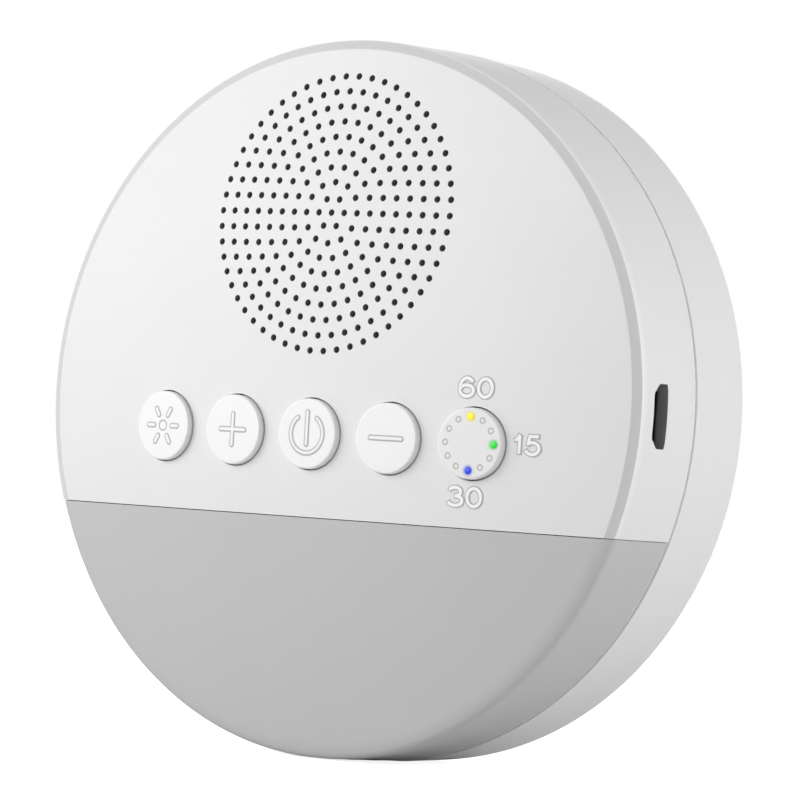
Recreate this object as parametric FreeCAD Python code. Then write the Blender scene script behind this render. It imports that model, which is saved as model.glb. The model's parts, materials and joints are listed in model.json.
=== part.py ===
import FreeCAD, Part

import math
import os

from FreeCAD import Vector

# White noise sound machine: a round, shallow case that stands on its rim.
# All sizes are in millimetres. The working frame has x to the right, y into the case
# (a depth, counted from the middle of the domed face) and z up from the middle of the disc.
# The pieces are moved to the part's own frame, centred over its base, when they are written.

# The round case, as a profile turned about the disc's axis
FACE_RADIUS = 50.0  # edge of the domed face
FACE_DOME = 5.0  # how far that edge lies behind the middle of the face
BEVEL_WIDTH = 1.35  # narrow bevel round the face
BEVEL_DEPTH = 0.7
SIDE_FLARE = 0.45  # how much the side widens from the bevel back to the seam
REAR_TAPER = 0.2  # how much it narrows from the seam to the back
SEAM_DEPTH = 19.0
CASE_DEPTH = 33.5
REAR_ROUNDING = 2.0
FACE_WALL = 2.0
SIDE_WALL = 1.8
BACK_WALL = 2.0
INNER_CHAMFER = 1.2  # inside corner between face and side
SEAM_GROOVE = 0.35  # shadow line round the seam, as wide as it is deep
LIP_LENGTH = 1.8  # tongue of the rear shell inside the front wall
LIP_CLEARANCE = 0.1

# Speaker grille: one hole in the middle, then rings of 6, 12, 18 and so on
GRILLE_HEIGHT = 0.524 * FACE_RADIUS  # middle of grille and speaker, above the disc's middle
GRILLE_RINGS = 9
RING_PITCH = 0.044 * FACE_RADIUS
HOLE_WIDTH = 0.41 * RING_PITCH
HOLE_SIDES = 6

# Row of five push buttons
BUTTON_DIAMETER = 0.2 * FACE_RADIUS
BUTTON_SPACING = 1.34 * BUTTON_DIAMETER
BUTTON_HEIGHT = -0.108 * FACE_RADIUS
BUTTON_PROUD = 1.0
BUTTON_EDGE = 0.45
BUTTON_CLEARANCE = 0.2
BUTTON_TRAVEL = 0.4
CROWN_THICKNESS = 1.5
SKIRT_WALL = 0.9
FLANGE_WIDTH = 1.0
FLANGE_THICKNESS = 0.8
FLANGE_GAP = 0.12
STEM_DIAMETER = 3.0

# Ring of time marks on the timer button
MARK_COUNT = 12
MARK_RING_RADIUS = 3.76
MARK_DIAMETER = 0.8
MARK_DEPTH = 0.3
LENS_DIAMETER = 1.1
LENS_CLEARANCE = 0.02

# Lamp cover: the lower segment of the front, back to the seam
LAMP_TOP = -0.344 * FACE_RADIUS
COVER_GAP = 0.12
LEDGE_HEIGHT = 2.0
LEDGE_THICKNESS = 1.2
LEDGE_CLEARANCE = 0.1
SHELF_THICKNESS = 1.6
TRAY_THICKNESS = 1.6
TRAY_CLEARANCE = 0.25
CLIP_ANGLES = (228.0, 270.0, 312.0)
CLIP_WIDTH = 6.0
CLIP_THICKNESS = 1.2
CLIP_HOLD = 1.0
CLIP_CLEARANCE = 0.05

# Main board and what stands on it
BOARD_FRONT = 11.6  # depth of its front face; the lamp board's back lies level with it
BOARD_THICKNESS = 1.6
BOARD_LEFT = -0.72 * FACE_RADIUS
BOARD_RIGHT = FACE_RADIUS - 3.2  # close to the side wall, where the socket's mouth is
BOARD_BOTTOM = LAMP_TOP + SHELF_THICKNESS + 0.4
BOARD_TOP = 0.088 * FACE_RADIUS
BOARD_CORNER_CLEARANCE = 0.9  # between the board's corners and the side wall
SWITCH_WIDTH = 6.0
SWITCH_HEIGHT = 3.1
PLUNGER_DIAMETER = 3.4
PLUNGER_PROUD = 0.6
PLUNGER_CLEARANCE = 0.08
PLUNGER_SINK = 0.6
SOCKET_WIDTH = 7.6
SOCKET_THICKNESS = 2.7
SOCKET_LENGTH = 5.6
SOCKET_METAL = 0.35
SOCKET_CHAMFER = 0.7
SOCKET_CLEARANCE = 0.3  # between the socket's mouth and the inside of the case wall
PORT_MARGIN = 0.7  # the opening in the wall is this much larger than the socket
TONGUE_THICKNESS = 0.6
CONNECTOR_SIZE = (6.0, 3.5, 4.5)
CONNECTOR_WALL = 0.7
CHIP_HEIGHT = 1.7
CAPACITOR_DIAMETER = 5.0
CAPACITOR_HEIGHT = 5.4

# Speaker driver
SPEAKER_DIAMETER = 0.9 * FACE_RADIUS
SPEAKER_FIT = 0.25  # between the driver's rim and the collar round it
SPEAKER_SEAT = 7.2  # depth of the collar's inner ledge
SEAT_WIDTH = 1.7
COLLAR_WALL = 1.15
MESH_THICKNESS = 0.3
GASKET_THICKNESS = 1.0
GASKET_WIDTH = 1.1
RIM_THICKNESS = 1.1
SURROUND_SHEET = 0.3
CONE_RADIUS = 0.328 * FACE_RADIUS
CONE_SHEET = 0.4
COIL_RADIUS = 5.15
PANELS = 40  # flat panels round the speaker's soft inner pieces
PANEL_REACH = 1 / math.cos(math.pi / PANELS)  # a panel's corners lie this much further out than its middle
COIL_WALL = 0.3
COIL_GAP = 0.25
BASKET_DEPTH = 6.0
BASKET_SHEET = 0.8
BASKET_FLOOR_RADIUS = 0.36 * FACE_RADIUS
MAGNET_DIAMETER = 0.64 * FACE_RADIUS
MAGNET_HOLE = 14.0
MAGNET_THICKNESS = 5.0
POLE_PLATE = 2.0
YOKE_PLATE = 1.5

# Lamp board
LED_WIDTH = 5.0
LED_HEIGHT = 1.6
LED_COUNT = 6
LED_SPACING = 0.24 * FACE_RADIUS
LED_ROW_DROP = 13.0  # from the top of the lamp cover down to the row
LAMP_BOARD_DROP = 3.0  # from the top of the lamp cover down to the board's edge
LAMP_BOARD_MARGIN = 2.4  # between the board's round edge and the side wall's inner face

# Battery
CELL_WIDTH = FACE_RADIUS
CELL_HEIGHT = 0.68 * FACE_RADIUS
CELL_THICKNESS = 6.0
CELL_MIDDLE = -0.16 * FACE_RADIUS
CELL_ROUNDING = 2.5
TAPE_THICKNESS = 0.4
CELL_RIB = 1.2
CELL_RIB_HEIGHT = 4.0
CELL_FIT = 0.25

# Screws, bosses and posts
CASE_SCREW_RING = FACE_RADIUS - 6.5
CASE_SCREW_ANGLES = (43.6, 136.4, 223.6, 316.4)
CASE_JOINT_DEPTH = 22.0  # where the front bosses and rear posts meet
BOSS_DIAMETER = 5.4
POST_WALL = 1.3
SCREW_DIAMETER = 2.0
SCREW_HEAD = 3.8
SCREW_HEAD_HEIGHT = 1.3
HEAD_CLEARANCE = 0.2
SHANK_CLEARANCE = 0.2
POST_FLOOR = 2.0
BOARD_SCREW_X = 1.5 * BUTTON_SPACING  # between two buttons
BOARD_SCREW_INSET = 2.4  # from the board's long edges
BOARD_SCREW_PLACES = tuple((side * BOARD_SCREW_X, z) for side in (-1, 1)
                           for z in (BOARD_BOTTOM + BOARD_SCREW_INSET, BOARD_TOP - BOARD_SCREW_INSET))
BOARD_BOSS_DIAMETER = 4.4
LAMP_SCREW_PLACES = tuple((side * 0.4 * FACE_RADIUS, -0.76 * FACE_RADIUS) for side in (-1, 1))
SPEAKER_SCREW_ANGLES = (30.0, 150.0, 210.0, 330.0)
SPEAKER_SCREW_SETBACK = 2.8  # from the driver's rim out to the screw
WASHER_DIAMETER = 7.2
WASHER_HEIGHT = 1.0
BITE = 5.0  # length of screw in its boss

# Base flat and its pad
PAD_WIDTH = 8.0
PAD_LENGTH = 9.5
PAD_THICKNESS = 0.8

# Wires
LEAD_DIAMETER = 1.2
LEAD_SPACING = 1.6
LEAD_BEND = 3.0

RIM_RADIUS = FACE_RADIUS + BEVEL_WIDTH
SEAM_RADIUS = RIM_RADIUS + SIDE_FLARE  # widest place, where the front and rear shells meet
REAR_RADIUS = SEAM_RADIUS - REAR_TAPER
RIM_DEPTH = FACE_DOME + BEVEL_DEPTH
DOME_RADIUS = (FACE_RADIUS**2 + FACE_DOME**2) / (2 * FACE_DOME)
BASE_HEIGHT = -RIM_RADIUS  # the base is cut flat, level with the lowest point of the front rim
BUTTON_RADIUS = BUTTON_DIAMETER / 2
BUTTON_NAMES = ("light", "volume_up", "power", "volume_down", "timer")
BOARD_BACK = BOARD_FRONT + BOARD_THICKNESS
SWITCH_FRONT = BOARD_FRONT - SWITCH_HEIGHT
PLUNGER_FRONT = SWITCH_FRONT - PLUNGER_PROUD
SPEAKER_RADIUS = SPEAKER_DIAMETER / 2
COLLAR_RADIUS = SPEAKER_RADIUS + SPEAKER_FIT
COLLAR_OUTER = COLLAR_RADIUS + COLLAR_WALL
RIM_FRONT = SPEAKER_SEAT + MESH_THICKNESS + GASKET_THICKNESS
RIM_BACK = RIM_FRONT + RIM_THICKNESS
BASKET_BACK = RIM_BACK + BASKET_DEPTH
BIG = 4 * SEAM_RADIUS

os.makedirs("parts", exist_ok=True)


def dome_depth(distance, behind=0.0):
    """Depth of the domed face at a distance from the disc's axis, or of a surface that far behind it."""
    return DOME_RADIUS - math.sqrt((DOME_RADIUS - behind) ** 2 - distance**2)


def side_radius(depth):
    """Outer radius of the case's side at a depth: it widens to the seam, then narrows to the back."""
    if depth < SEAM_DEPTH:
        share = (depth - RIM_DEPTH) / (SEAM_DEPTH - RIM_DEPTH)
        return RIM_RADIUS + share * (SEAM_RADIUS - RIM_RADIUS)
    share = (depth - SEAM_DEPTH) / (CASE_DEPTH - SEAM_DEPTH)
    return SEAM_RADIUS + share * (REAR_RADIUS - SEAM_RADIUS)


def lines(points):
    """Straight edges through points given as (radius, depth)."""
    corners = [Vector(r, d, 0) for r, d in points]
    return [Part.makeLine(a, b) for a, b in zip(corners, corners[1:])]


def dome_ball(behind=0.0):
    """Ball whose near side is the domed face, or a surface that far behind it."""
    return Part.makeSphere(DOME_RADIUS - behind, Vector(0, DOME_RADIUS, 0))


def arc(start, middle, end):
    """An arc through three points given as (radius, depth)."""
    return Part.Arc(*(Vector(r, d, 0) for r, d in (start, middle, end))).toShape()


def turned(edges, x=0.0, z=0.0):
    """A profile turned about a line along y, with the line moved to x, z."""
    solid = Part.Face(Part.Wire(edges)).revolve(Vector(0, 0, 0), Vector(0, 1, 0), 360)
    solid.translate(Vector(x, 0, z))
    return solid


def turned_outline(points, x=0.0, z=0.0):
    return turned(lines(points + [points[0]]), x, z)


def panelled(points, z):
    """A thin inner form turned in flat panels about a line along y, for pieces that nothing else has to fit."""
    turns = [2 * math.pi * i / PANELS for i in range(PANELS + 1)]
    faces = []
    for (r0, d0), (r1, d1) in zip(points, points[1:] + points[:1]):
        for first, last in zip(turns, turns[1:]):
            corners = [(r0, d0, first), (r1, d1, first), (r1, d1, last), (r0, d0, last)]
            if r0 == 0:
                corners = corners[:3]
            elif r1 == 0:
                corners = [corners[0], corners[1], corners[3]]
            if r0 == 0 and r1 == 0:
                continue
            flat = [Vector(r * math.cos(t), d, z + r * math.sin(t)) for r, d, t in corners]
            faces.append(Part.Face(Part.makePolygon(flat + [flat[0]])))
    shell = Part.makeShell(faces)
    shell.sewShape()
    return Part.makeSolid(Part.makeShell(shell.Faces))


def rod(diameter, front, back, x=0.0, z=0.0):
    return Part.makeCylinder(diameter / 2, back - front, Vector(x, front, z), Vector(0, 1, 0))


def ring(inner, outer, front, back, x=0.0, z=0.0):
    """A flat ring between two radii and two depths."""
    return turned_outline([(inner, front), (outer, front), (outer, back), (inner, back)], x, z)


def block(size, x, front, z):
    """A box of width, depth and height, centred on x and z, starting at a depth."""
    width, depth, height = size
    return Part.makeBox(width, depth, height, Vector(x - width / 2, front, z - height / 2))


def prism(sides, width, front, back, x, z):
    """An upright many-sided bar along y, as wide across its corners as a round bar of that width."""
    step = 2 * math.pi / sides
    points = [
        Vector(x + width / 2 * math.cos(i * step), front, z + width / 2 * math.sin(i * step))
        for i in range(sides + 1)
    ]
    return Part.Face(Part.makePolygon(points)).extrude(Vector(0, back - front, 0))


def place_on(radius, angle, x=0.0, z=0.0):
    turn = math.radians(angle)
    return x + radius * math.cos(turn), z + radius * math.sin(turn)


def union(first, *others):
    return first.fuse(list(others)).removeSplitter() if others else first


def above(z):
    return Part.makeBox(2 * BIG, 2 * BIG, BIG, Vector(-BIG, -BIG, z))


def below(z):
    return Part.makeBox(2 * BIG, 2 * BIG, BIG, Vector(-BIG, -BIG, z - BIG))


def between(front, back):
    return rod(BIG, front, back)


def save(name, shape):
    """Moves a piece to the part's frame (centre of the base at 0, 0, 0) and writes it."""
    shape = shape.copy()
    shape.translate(Vector(0, -(CASE_DEPTH - BUTTON_PROUD) / 2, -BASE_HEIGHT))
    shape.exportStep(os.path.join("parts", name + ".step"))


def case_body():
    """The whole case as one solid, with its domed face, bevel, tapered side, rounded back edge and flat base."""
    back_edge = side_radius(CASE_DEPTH) - REAR_ROUNDING
    back_start = CASE_DEPTH - REAR_ROUNDING
    run_on = RIM_RADIUS / BEVEL_WIDTH  # the bevel's slope runs on inwards, and the dome cuts it off
    outline = [(0, RIM_DEPTH - run_on * BEVEL_DEPTH), (RIM_RADIUS, RIM_DEPTH), (SEAM_RADIUS, SEAM_DEPTH)]
    for turn in (0, 30, 60, 90):
        outline.append(place_on(REAR_ROUNDING, turn, back_edge, back_start))
    outline.append((0, CASE_DEPTH))
    return turned_outline(outline).common(dome_ball()).common(above(BASE_HEIGHT))


def case_core(face, side, back):
    """What lies inside the case's skin, for skins of these thicknesses at face, side and back."""
    edge = RIM_RADIUS - side - INNER_CHAMFER
    edge_depth = dome_depth(edge, face)
    outline = [
        (0, edge_depth - edge),
        (edge, edge_depth),
        (side_radius(edge_depth + INNER_CHAMFER) - side, edge_depth + INNER_CHAMFER),
        (SEAM_RADIUS - side, SEAM_DEPTH),
        (REAR_RADIUS - side, CASE_DEPTH - back),
        (0, CASE_DEPTH - back),
    ]
    return turned_outline(outline).common(dome_ball(face))


CASE_BODY = case_body()
HOLLOW = case_core(FACE_WALL, SIDE_WALL, BACK_WALL)
HALF_WALL_CORE = case_core(FACE_WALL / 2, SIDE_WALL / 2, BACK_WALL / 2)
FRONT_BLANK = CASE_BODY.cut(HOLLOW).common(between(-BIG / 4, SEAM_DEPTH))
LIP_SPLIT = SEAM_RADIUS - SIDE_WALL / 2
LIP_REBATE = ring(
    LIP_SPLIT - SIDE_WALL,
    LIP_SPLIT,
    SEAM_DEPTH - LIP_LENGTH - LIP_CLEARANCE,
    SEAM_DEPTH + LIP_CLEARANCE,
)


def grille_places():
    """Places of the holes, as (x, z): each ring has six more holes than the one inside it."""
    places = [(0.0, GRILLE_HEIGHT)]
    for number in range(1, GRILLE_RINGS + 1):
        count = 6 * number
        for i in range(count):
            places.append(place_on(number * RING_PITCH, i * 360.0 / count, 0.0, GRILLE_HEIGHT))
    return places


def grille_holes():
    back = SPEAKER_SEAT - MESH_THICKNESS
    holes = [prism(HOLE_SIDES, HOLE_WIDTH, -1.0, back, x, z) for x, z in grille_places()]
    return Part.makeCompound(holes)


def button_places():
    middle = (len(BUTTON_NAMES) - 1) / 2
    return [(name, (i - middle) * BUTTON_SPACING) for i, name in enumerate(BUTTON_NAMES)]


def case_screw_places():
    return [place_on(CASE_SCREW_RING, angle) for angle in CASE_SCREW_ANGLES]


def speaker_screw_places():
    reach = SPEAKER_RADIUS + SPEAKER_SCREW_SETBACK
    return [place_on(reach, angle, 0.0, GRILLE_HEIGHT) for angle in SPEAKER_SCREW_ANGLES]


def port_outline(margin):
    """Socket outline in the y, z plane: straight behind, chamfered in front, with a margin round it."""
    back = BOARD_FRONT + margin / 2
    front = BOARD_FRONT - SOCKET_THICKNESS - margin / 2
    half = SOCKET_WIDTH / 2 + margin
    slope = SOCKET_CHAMFER + margin
    return [
        (back, -half),
        (back, half),
        (front + slope, half),
        (front, half - slope),
        (front, slope - half),
        (front + slope, -half),
    ]


def port_bar(margin, left, right):
    """The socket's outline drawn out along x."""
    points = [Vector(left, y, z) for y, z in port_outline(margin)]
    return Part.Face(Part.makePolygon(points + [points[0]])).extrude(Vector(right - left, 0, 0))


def speaker_collar():
    """Ring behind the grille: a ledge for the mesh and gasket, and a wall round the driver's rim."""
    seat_inner = COLLAR_RADIUS - SEAT_WIDTH
    ledge = ring(seat_inner, COLLAR_OUTER, 0.5, SPEAKER_SEAT, 0.0, GRILLE_HEIGHT)
    wall = ring(COLLAR_RADIUS, COLLAR_OUTER, 0.5, RIM_BACK, 0.0, GRILLE_HEIGHT)
    bosses = [rod(BOARD_BOSS_DIAMETER, 0.5, RIM_BACK, x, z) for x, z in speaker_screw_places()]
    cleared = rod(2 * COLLAR_RADIUS, SPEAKER_SEAT, RIM_BACK + 1.0, 0.0, GRILLE_HEIGHT)
    return union(ledge, wall, *bosses).cut(cleared)


def lamp_tray():
    """Shelf along the top of the lamp, the ledge behind the cover's edge, and the plate that carries the lamp board."""
    back = BOARD_FRONT + TRAY_THICKNESS
    shelf = Part.makeBox(BIG, back - 0.5, SHELF_THICKNESS, Vector(-BIG / 2, 0.5, LAMP_TOP))
    shelf = shelf.common(HALF_WALL_CORE)
    near = case_core(FACE_WALL + LEDGE_CLEARANCE, SIDE_WALL + LEDGE_CLEARANCE, BACK_WALL)
    far = case_core(FACE_WALL + LEDGE_THICKNESS, SIDE_WALL + LEDGE_THICKNESS, BACK_WALL)
    strip = Part.makeBox(BIG, back, LEDGE_HEIGHT + SHELF_THICKNESS, Vector(-BIG / 2, 0, LAMP_TOP - LEDGE_HEIGHT))
    ledge = near.cut(far).common(strip)
    plate = rod(2 * (RIM_RADIUS - SIDE_WALL - TRAY_CLEARANCE), BOARD_FRONT, back)
    plate = plate.common(below(LAMP_TOP + SHELF_THICKNESS))
    return union(shelf, ledge, plate)


def lamp_wire_place():
    return 8.0, LAMP_TOP - LAMP_BOARD_DROP - 4.0


def front_shell():
    """Domed front: grille, button holes, speaker collar, bosses, socket opening and lamp tray."""
    shell = FRONT_BLANK.common(above(LAMP_TOP)).cut(LIP_REBATE)
    bosses = [rod(BOSS_DIAMETER, 1.0, CASE_JOINT_DEPTH, x, z) for x, z in case_screw_places() if z > 0]
    bosses += [rod(BOARD_BOSS_DIAMETER, 0.5, BOARD_FRONT, x, z) for x, z in BOARD_SCREW_PLACES]
    inner = [boss.common(HALF_WALL_CORE) for boss in bosses + [speaker_collar()]]
    feet = [rod(BOSS_DIAMETER, BOARD_FRONT, CASE_JOINT_DEPTH, x, z) for x, z in case_screw_places() if z < 0]
    feet += [rod(BOARD_BOSS_DIAMETER, BOARD_FRONT, BOARD_FRONT + BITE, x, z) for x, z in LAMP_SCREW_PLACES]
    shell = union(shell, lamp_tray(), *inner, *feet)
    holes = [rod(BUTTON_DIAMETER + 2 * BUTTON_CLEARANCE, -5.0, BOARD_FRONT / 2, x, BUTTON_HEIGHT)
             for _, x in button_places()]
    holes += [rod(SCREW_DIAMETER, CASE_JOINT_DEPTH - BITE - 1.0, CASE_JOINT_DEPTH + 1.0, x, z)
              for x, z in case_screw_places()]
    holes += [rod(SCREW_DIAMETER, BOARD_FRONT - BITE, BOARD_FRONT + 1.0, x, z) for x, z in BOARD_SCREW_PLACES]
    holes += [rod(SCREW_DIAMETER, BOARD_FRONT - 1.0, BOARD_FRONT + BITE - 1.0, x, z) for x, z in LAMP_SCREW_PLACES]
    holes += [rod(SCREW_DIAMETER, RIM_BACK - 3.0, RIM_BACK + 1.0, x, z) for x, z in speaker_screw_places()]
    wire_x, wire_z = lamp_wire_place()
    holes.append(block((2 * LEAD_SPACING + 1.0, 2 * TRAY_THICKNESS, 3.0), wire_x, BOARD_FRONT - 1.0, wire_z))
    holes.append(port_bar(PORT_MARGIN, RIM_RADIUS - 4 * SIDE_WALL, BIG))
    return shell.cut(holes).cut(grille_holes())


def lamp_cover():
    """Frosted lower segment of the front, with clips that hook behind the lamp tray."""
    cover = FRONT_BLANK.common(below(LAMP_TOP - COVER_GAP)).cut(LIP_REBATE)
    tray_back = BOARD_FRONT + TRAY_THICKNESS
    tray_edge = RIM_RADIUS - SIDE_WALL - TRAY_CLEARANCE
    clips = []
    for angle in CLIP_ANGLES:
        size = (CLIP_HOLD + SIDE_WALL, CLIP_THICKNESS, CLIP_WIDTH)
        clip = block(size, tray_edge - CLIP_HOLD + size[0] / 2, tray_back + CLIP_CLEARANCE, 0.0)
        clip.rotate(Vector(0, 0, 0), Vector(0, 1, 0), -angle)
        clips.append(clip.common(HALF_WALL_CORE))
    return union(cover, *clips)


def rear_posts():
    """Posts that take the case screws: a deep recess for the head, and a floor that it bears on."""
    recess = SCREW_HEAD + 2 * HEAD_CLEARANCE
    top = CASE_JOINT_DEPTH + POST_FLOOR
    posts = []
    cuts = []
    for x, z in case_screw_places():
        posts.append(rod(recess + 2 * POST_WALL, CASE_JOINT_DEPTH, CASE_DEPTH - BACK_WALL / 2, x, z))
        cuts.append(rod(recess, top, CASE_DEPTH + 1.0, x, z))
        cuts.append(rod(SCREW_DIAMETER + 2 * SHANK_CLEARANCE, CASE_JOINT_DEPTH - 1.0, top + 1.0, x, z))
    return posts, cuts


def cell_ribs():
    """Low rib frame on the back's inner face that keeps the battery in place."""
    floor = CASE_DEPTH - BACK_WALL
    inner = (CELL_WIDTH + 2 * CELL_FIT, 2 * CELL_RIB_HEIGHT, CELL_HEIGHT + 2 * CELL_FIT)
    outer = (inner[0] + 2 * CELL_RIB, CELL_RIB_HEIGHT + BACK_WALL / 2, inner[2] + 2 * CELL_RIB)
    frame = block(outer, 0.0, floor - CELL_RIB_HEIGHT, CELL_MIDDLE)
    frame = frame.cut(block(inner, 0.0, floor - CELL_RIB_HEIGHT - 1.0, CELL_MIDDLE))
    gap = (CELL_WIDTH * 0.9, CELL_RIB_HEIGHT + 1.0, BIG / 4)
    wide_gap = (BIG / 2, CELL_RIB_HEIGHT + 1.0, CELL_HEIGHT * 0.5)
    front = floor - CELL_RIB_HEIGHT - 1.0
    return frame.cut([block(gap, 0.0, front, CELL_MIDDLE), block(wide_gap, 0.0, front, CELL_MIDDLE)])


def rear_shell():
    """Round back with its tongue, screw posts, battery ribs, seam groove and the pad's recess."""
    shell = CASE_BODY.cut(HOLLOW).common(between(SEAM_DEPTH, CASE_DEPTH + 1.0))
    lip = ring(SEAM_RADIUS - SIDE_WALL, LIP_SPLIT - LIP_CLEARANCE, SEAM_DEPTH - LIP_LENGTH, SEAM_DEPTH + 1.0)
    posts, cuts = rear_posts()
    ribs = cell_ribs().common(HALF_WALL_CORE)
    shell = union(shell, lip, ribs, *[post.common(HALF_WALL_CORE) for post in posts])
    groove = ring(SEAM_RADIUS - SEAM_GROOVE, BIG / 2, SEAM_DEPTH - 1.0, SEAM_DEPTH + SEAM_GROOVE)
    return shell.cut(cuts + [groove, pad_block()])


def pad_block():
    middle = (SEAM_DEPTH + CASE_DEPTH - REAR_ROUNDING) / 2
    size = (PAD_WIDTH, PAD_LENGTH, PAD_THICKNESS)
    return block(size, 0.0, middle - PAD_LENGTH / 2, BASE_HEIGHT + PAD_THICKNESS / 2)


def button_cap(name, x):
    """Push button: a cup that follows the dome, with a flange behind the face and a stem to its switch."""
    away = math.hypot(x, BUTTON_HEIGHT)
    flange_radius = BUTTON_RADIUS + FLANGE_WIDTH
    flange_front = dome_depth(away + flange_radius, FACE_WALL) + FLANGE_GAP
    back = flange_front + FLANGE_THICKNESS
    crown_back = dome_depth(away) - BUTTON_PROUD + CROWN_THICKNESS
    dome = dome_ball()
    dome.translate(Vector(0, -BUTTON_PROUD, 0))
    cap = rod(BUTTON_DIAMETER, -2 * BUTTON_PROUD, back, x, BUTTON_HEIGHT).common(dome)
    front_edges = [e for e in cap.Edges if e.BoundBox.YMax < crown_back and not e.isSeam(cap.Faces[0])]
    rims = [e for e in front_edges if e.BoundBox.XLength > BUTTON_RADIUS]
    cap = cap.makeChamfer(BUTTON_EDGE, rims)
    cap = union(cap, rod(2 * flange_radius, flange_front, back, x, BUTTON_HEIGHT))
    cap = cap.cut(rod(BUTTON_DIAMETER - 2 * SKIRT_WALL, crown_back, back + 1.0, x, BUTTON_HEIGHT))
    cap = union(cap, rod(STEM_DIAMETER, crown_back - CROWN_THICKNESS / 2, PLUNGER_FRONT, x, BUTTON_HEIGHT))
    if name == "timer":
        cap = cap.cut(timer_marks(x, crown_back))
    return cap


def mark_place(number, x):
    """Place of a time mark, counted clockwise from the top like the hours of a clock."""
    return place_on(MARK_RING_RADIUS, 90.0 - number * 360.0 / MARK_COUNT, x, BUTTON_HEIGHT)


LENS_MARKS = {"yellow": 0, "green": 3, "blue": 6}


def timer_marks(x, crown_back):
    """Holes for the three lenses, and shallow dimples for the other marks."""
    cuts = []
    for number in range(MARK_COUNT):
        mark_x, mark_z = mark_place(number, x)
        if number in LENS_MARKS.values():
            width = LENS_DIAMETER + 2 * LENS_CLEARANCE
            cuts.append(rod(width, -3.0, crown_back + 1.0, mark_x, mark_z))
        else:
            depth = dome_depth(math.hypot(mark_x, mark_z)) - BUTTON_PROUD + MARK_DEPTH
            cuts.append(prism(HOLE_SIDES, MARK_DIAMETER, -3.0, depth, mark_x, mark_z))
    return cuts


def timer_lens(x, colour):
    lens_x, lens_z = mark_place(LENS_MARKS[colour], x)
    front = dome_depth(math.hypot(lens_x, lens_z)) - BUTTON_PROUD
    back = dome_depth(math.hypot(x, BUTTON_HEIGHT)) - BUTTON_PROUD + CROWN_THICKNESS
    return rod(LENS_DIAMETER, front, back, lens_x, lens_z)


def switch_body(x):
    """Square tactile switch with a round well for its plunger."""
    body = block((SWITCH_WIDTH, SWITCH_HEIGHT, SWITCH_WIDTH), x, SWITCH_FRONT, BUTTON_HEIGHT)
    depth = PLUNGER_SINK + BUTTON_TRAVEL + PLUNGER_CLEARANCE
    well = PLUNGER_DIAMETER + 2 * PLUNGER_CLEARANCE
    return body.cut(rod(well, SWITCH_FRONT - 1.0, SWITCH_FRONT + depth, x, BUTTON_HEIGHT))


def switch_plunger(x):
    return rod(PLUNGER_DIAMETER, PLUNGER_FRONT, SWITCH_FRONT + PLUNGER_SINK, x, BUTTON_HEIGHT)


def main_board():
    """Board behind the buttons, its ends cut round to follow the case."""
    size = (BOARD_RIGHT - BOARD_LEFT, BOARD_THICKNESS, BOARD_TOP - BOARD_BOTTOM)
    board = block(size, (BOARD_RIGHT + BOARD_LEFT) / 2, BOARD_FRONT, (BOARD_TOP + BOARD_BOTTOM) / 2)
    limit = RIM_RADIUS - SIDE_WALL - BOARD_CORNER_CLEARANCE
    board = board.common(rod(2 * limit, BOARD_FRONT - 1.0, BOARD_BACK + 1.0))
    width = SCREW_DIAMETER + 2 * SHANK_CLEARANCE
    return board.cut([rod(width, BOARD_FRONT - 1.0, BOARD_BACK + 1.0, x, z) for x, z in BOARD_SCREW_PLACES])


def screw(x, z, bearing, length, head=SCREW_HEAD, height=SCREW_HEAD_HEIGHT):
    """A screw driven towards the front, with its head's underside at a depth."""
    top = rod(head, bearing, bearing + height, x, z)
    shank = prism(HOLE_SIDES, SCREW_DIAMETER, bearing - length, bearing + height / 2, x, z)
    return union(top, shank)


def timer_leds():
    timer_x = button_places()[-1][1]
    places = [mark_place(number, timer_x) for number in LENS_MARKS.values()]
    size = (0.8, 0.6, 0.8)
    return Part.makeCompound([block(size, x, BOARD_FRONT - size[1], z) for x, z in places])


def socket_mouth():
    return side_radius(BOARD_FRONT) - SIDE_WALL + SOCKET_CLEARANCE


def socket_shell():
    """Metal shell of the charging socket: a folded sheet, open towards the side of the case."""
    mouth = socket_mouth()
    outside = port_bar(0.0, mouth - SOCKET_LENGTH, mouth)
    inside = port_bar(-SOCKET_METAL, mouth - SOCKET_LENGTH + SOCKET_METAL, mouth + 1.0)
    return outside.cut(inside)


def socket_tongue():
    size = (SOCKET_LENGTH - 1.5, TONGUE_THICKNESS, SOCKET_WIDTH * 0.5)
    x = socket_mouth() - SOCKET_LENGTH + SOCKET_METAL + size[0] / 2
    return block(size, x, BOARD_FRONT - SOCKET_METAL - 1.3, 0.0)


def wire_connector(x, z, opens):
    """Small white wire connector on the back of the board, open on the side that its wires leave."""
    width, depth, height = CONNECTOR_SIZE
    body = block(CONNECTOR_SIZE, x, BOARD_BACK, z)
    inner = (width - 2 * CONNECTOR_WALL, depth - 2 * CONNECTOR_WALL, height)
    return body.cut(block(inner, x, BOARD_BACK + CONNECTOR_WALL, z + opens * 2 * CONNECTOR_WALL))


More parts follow.
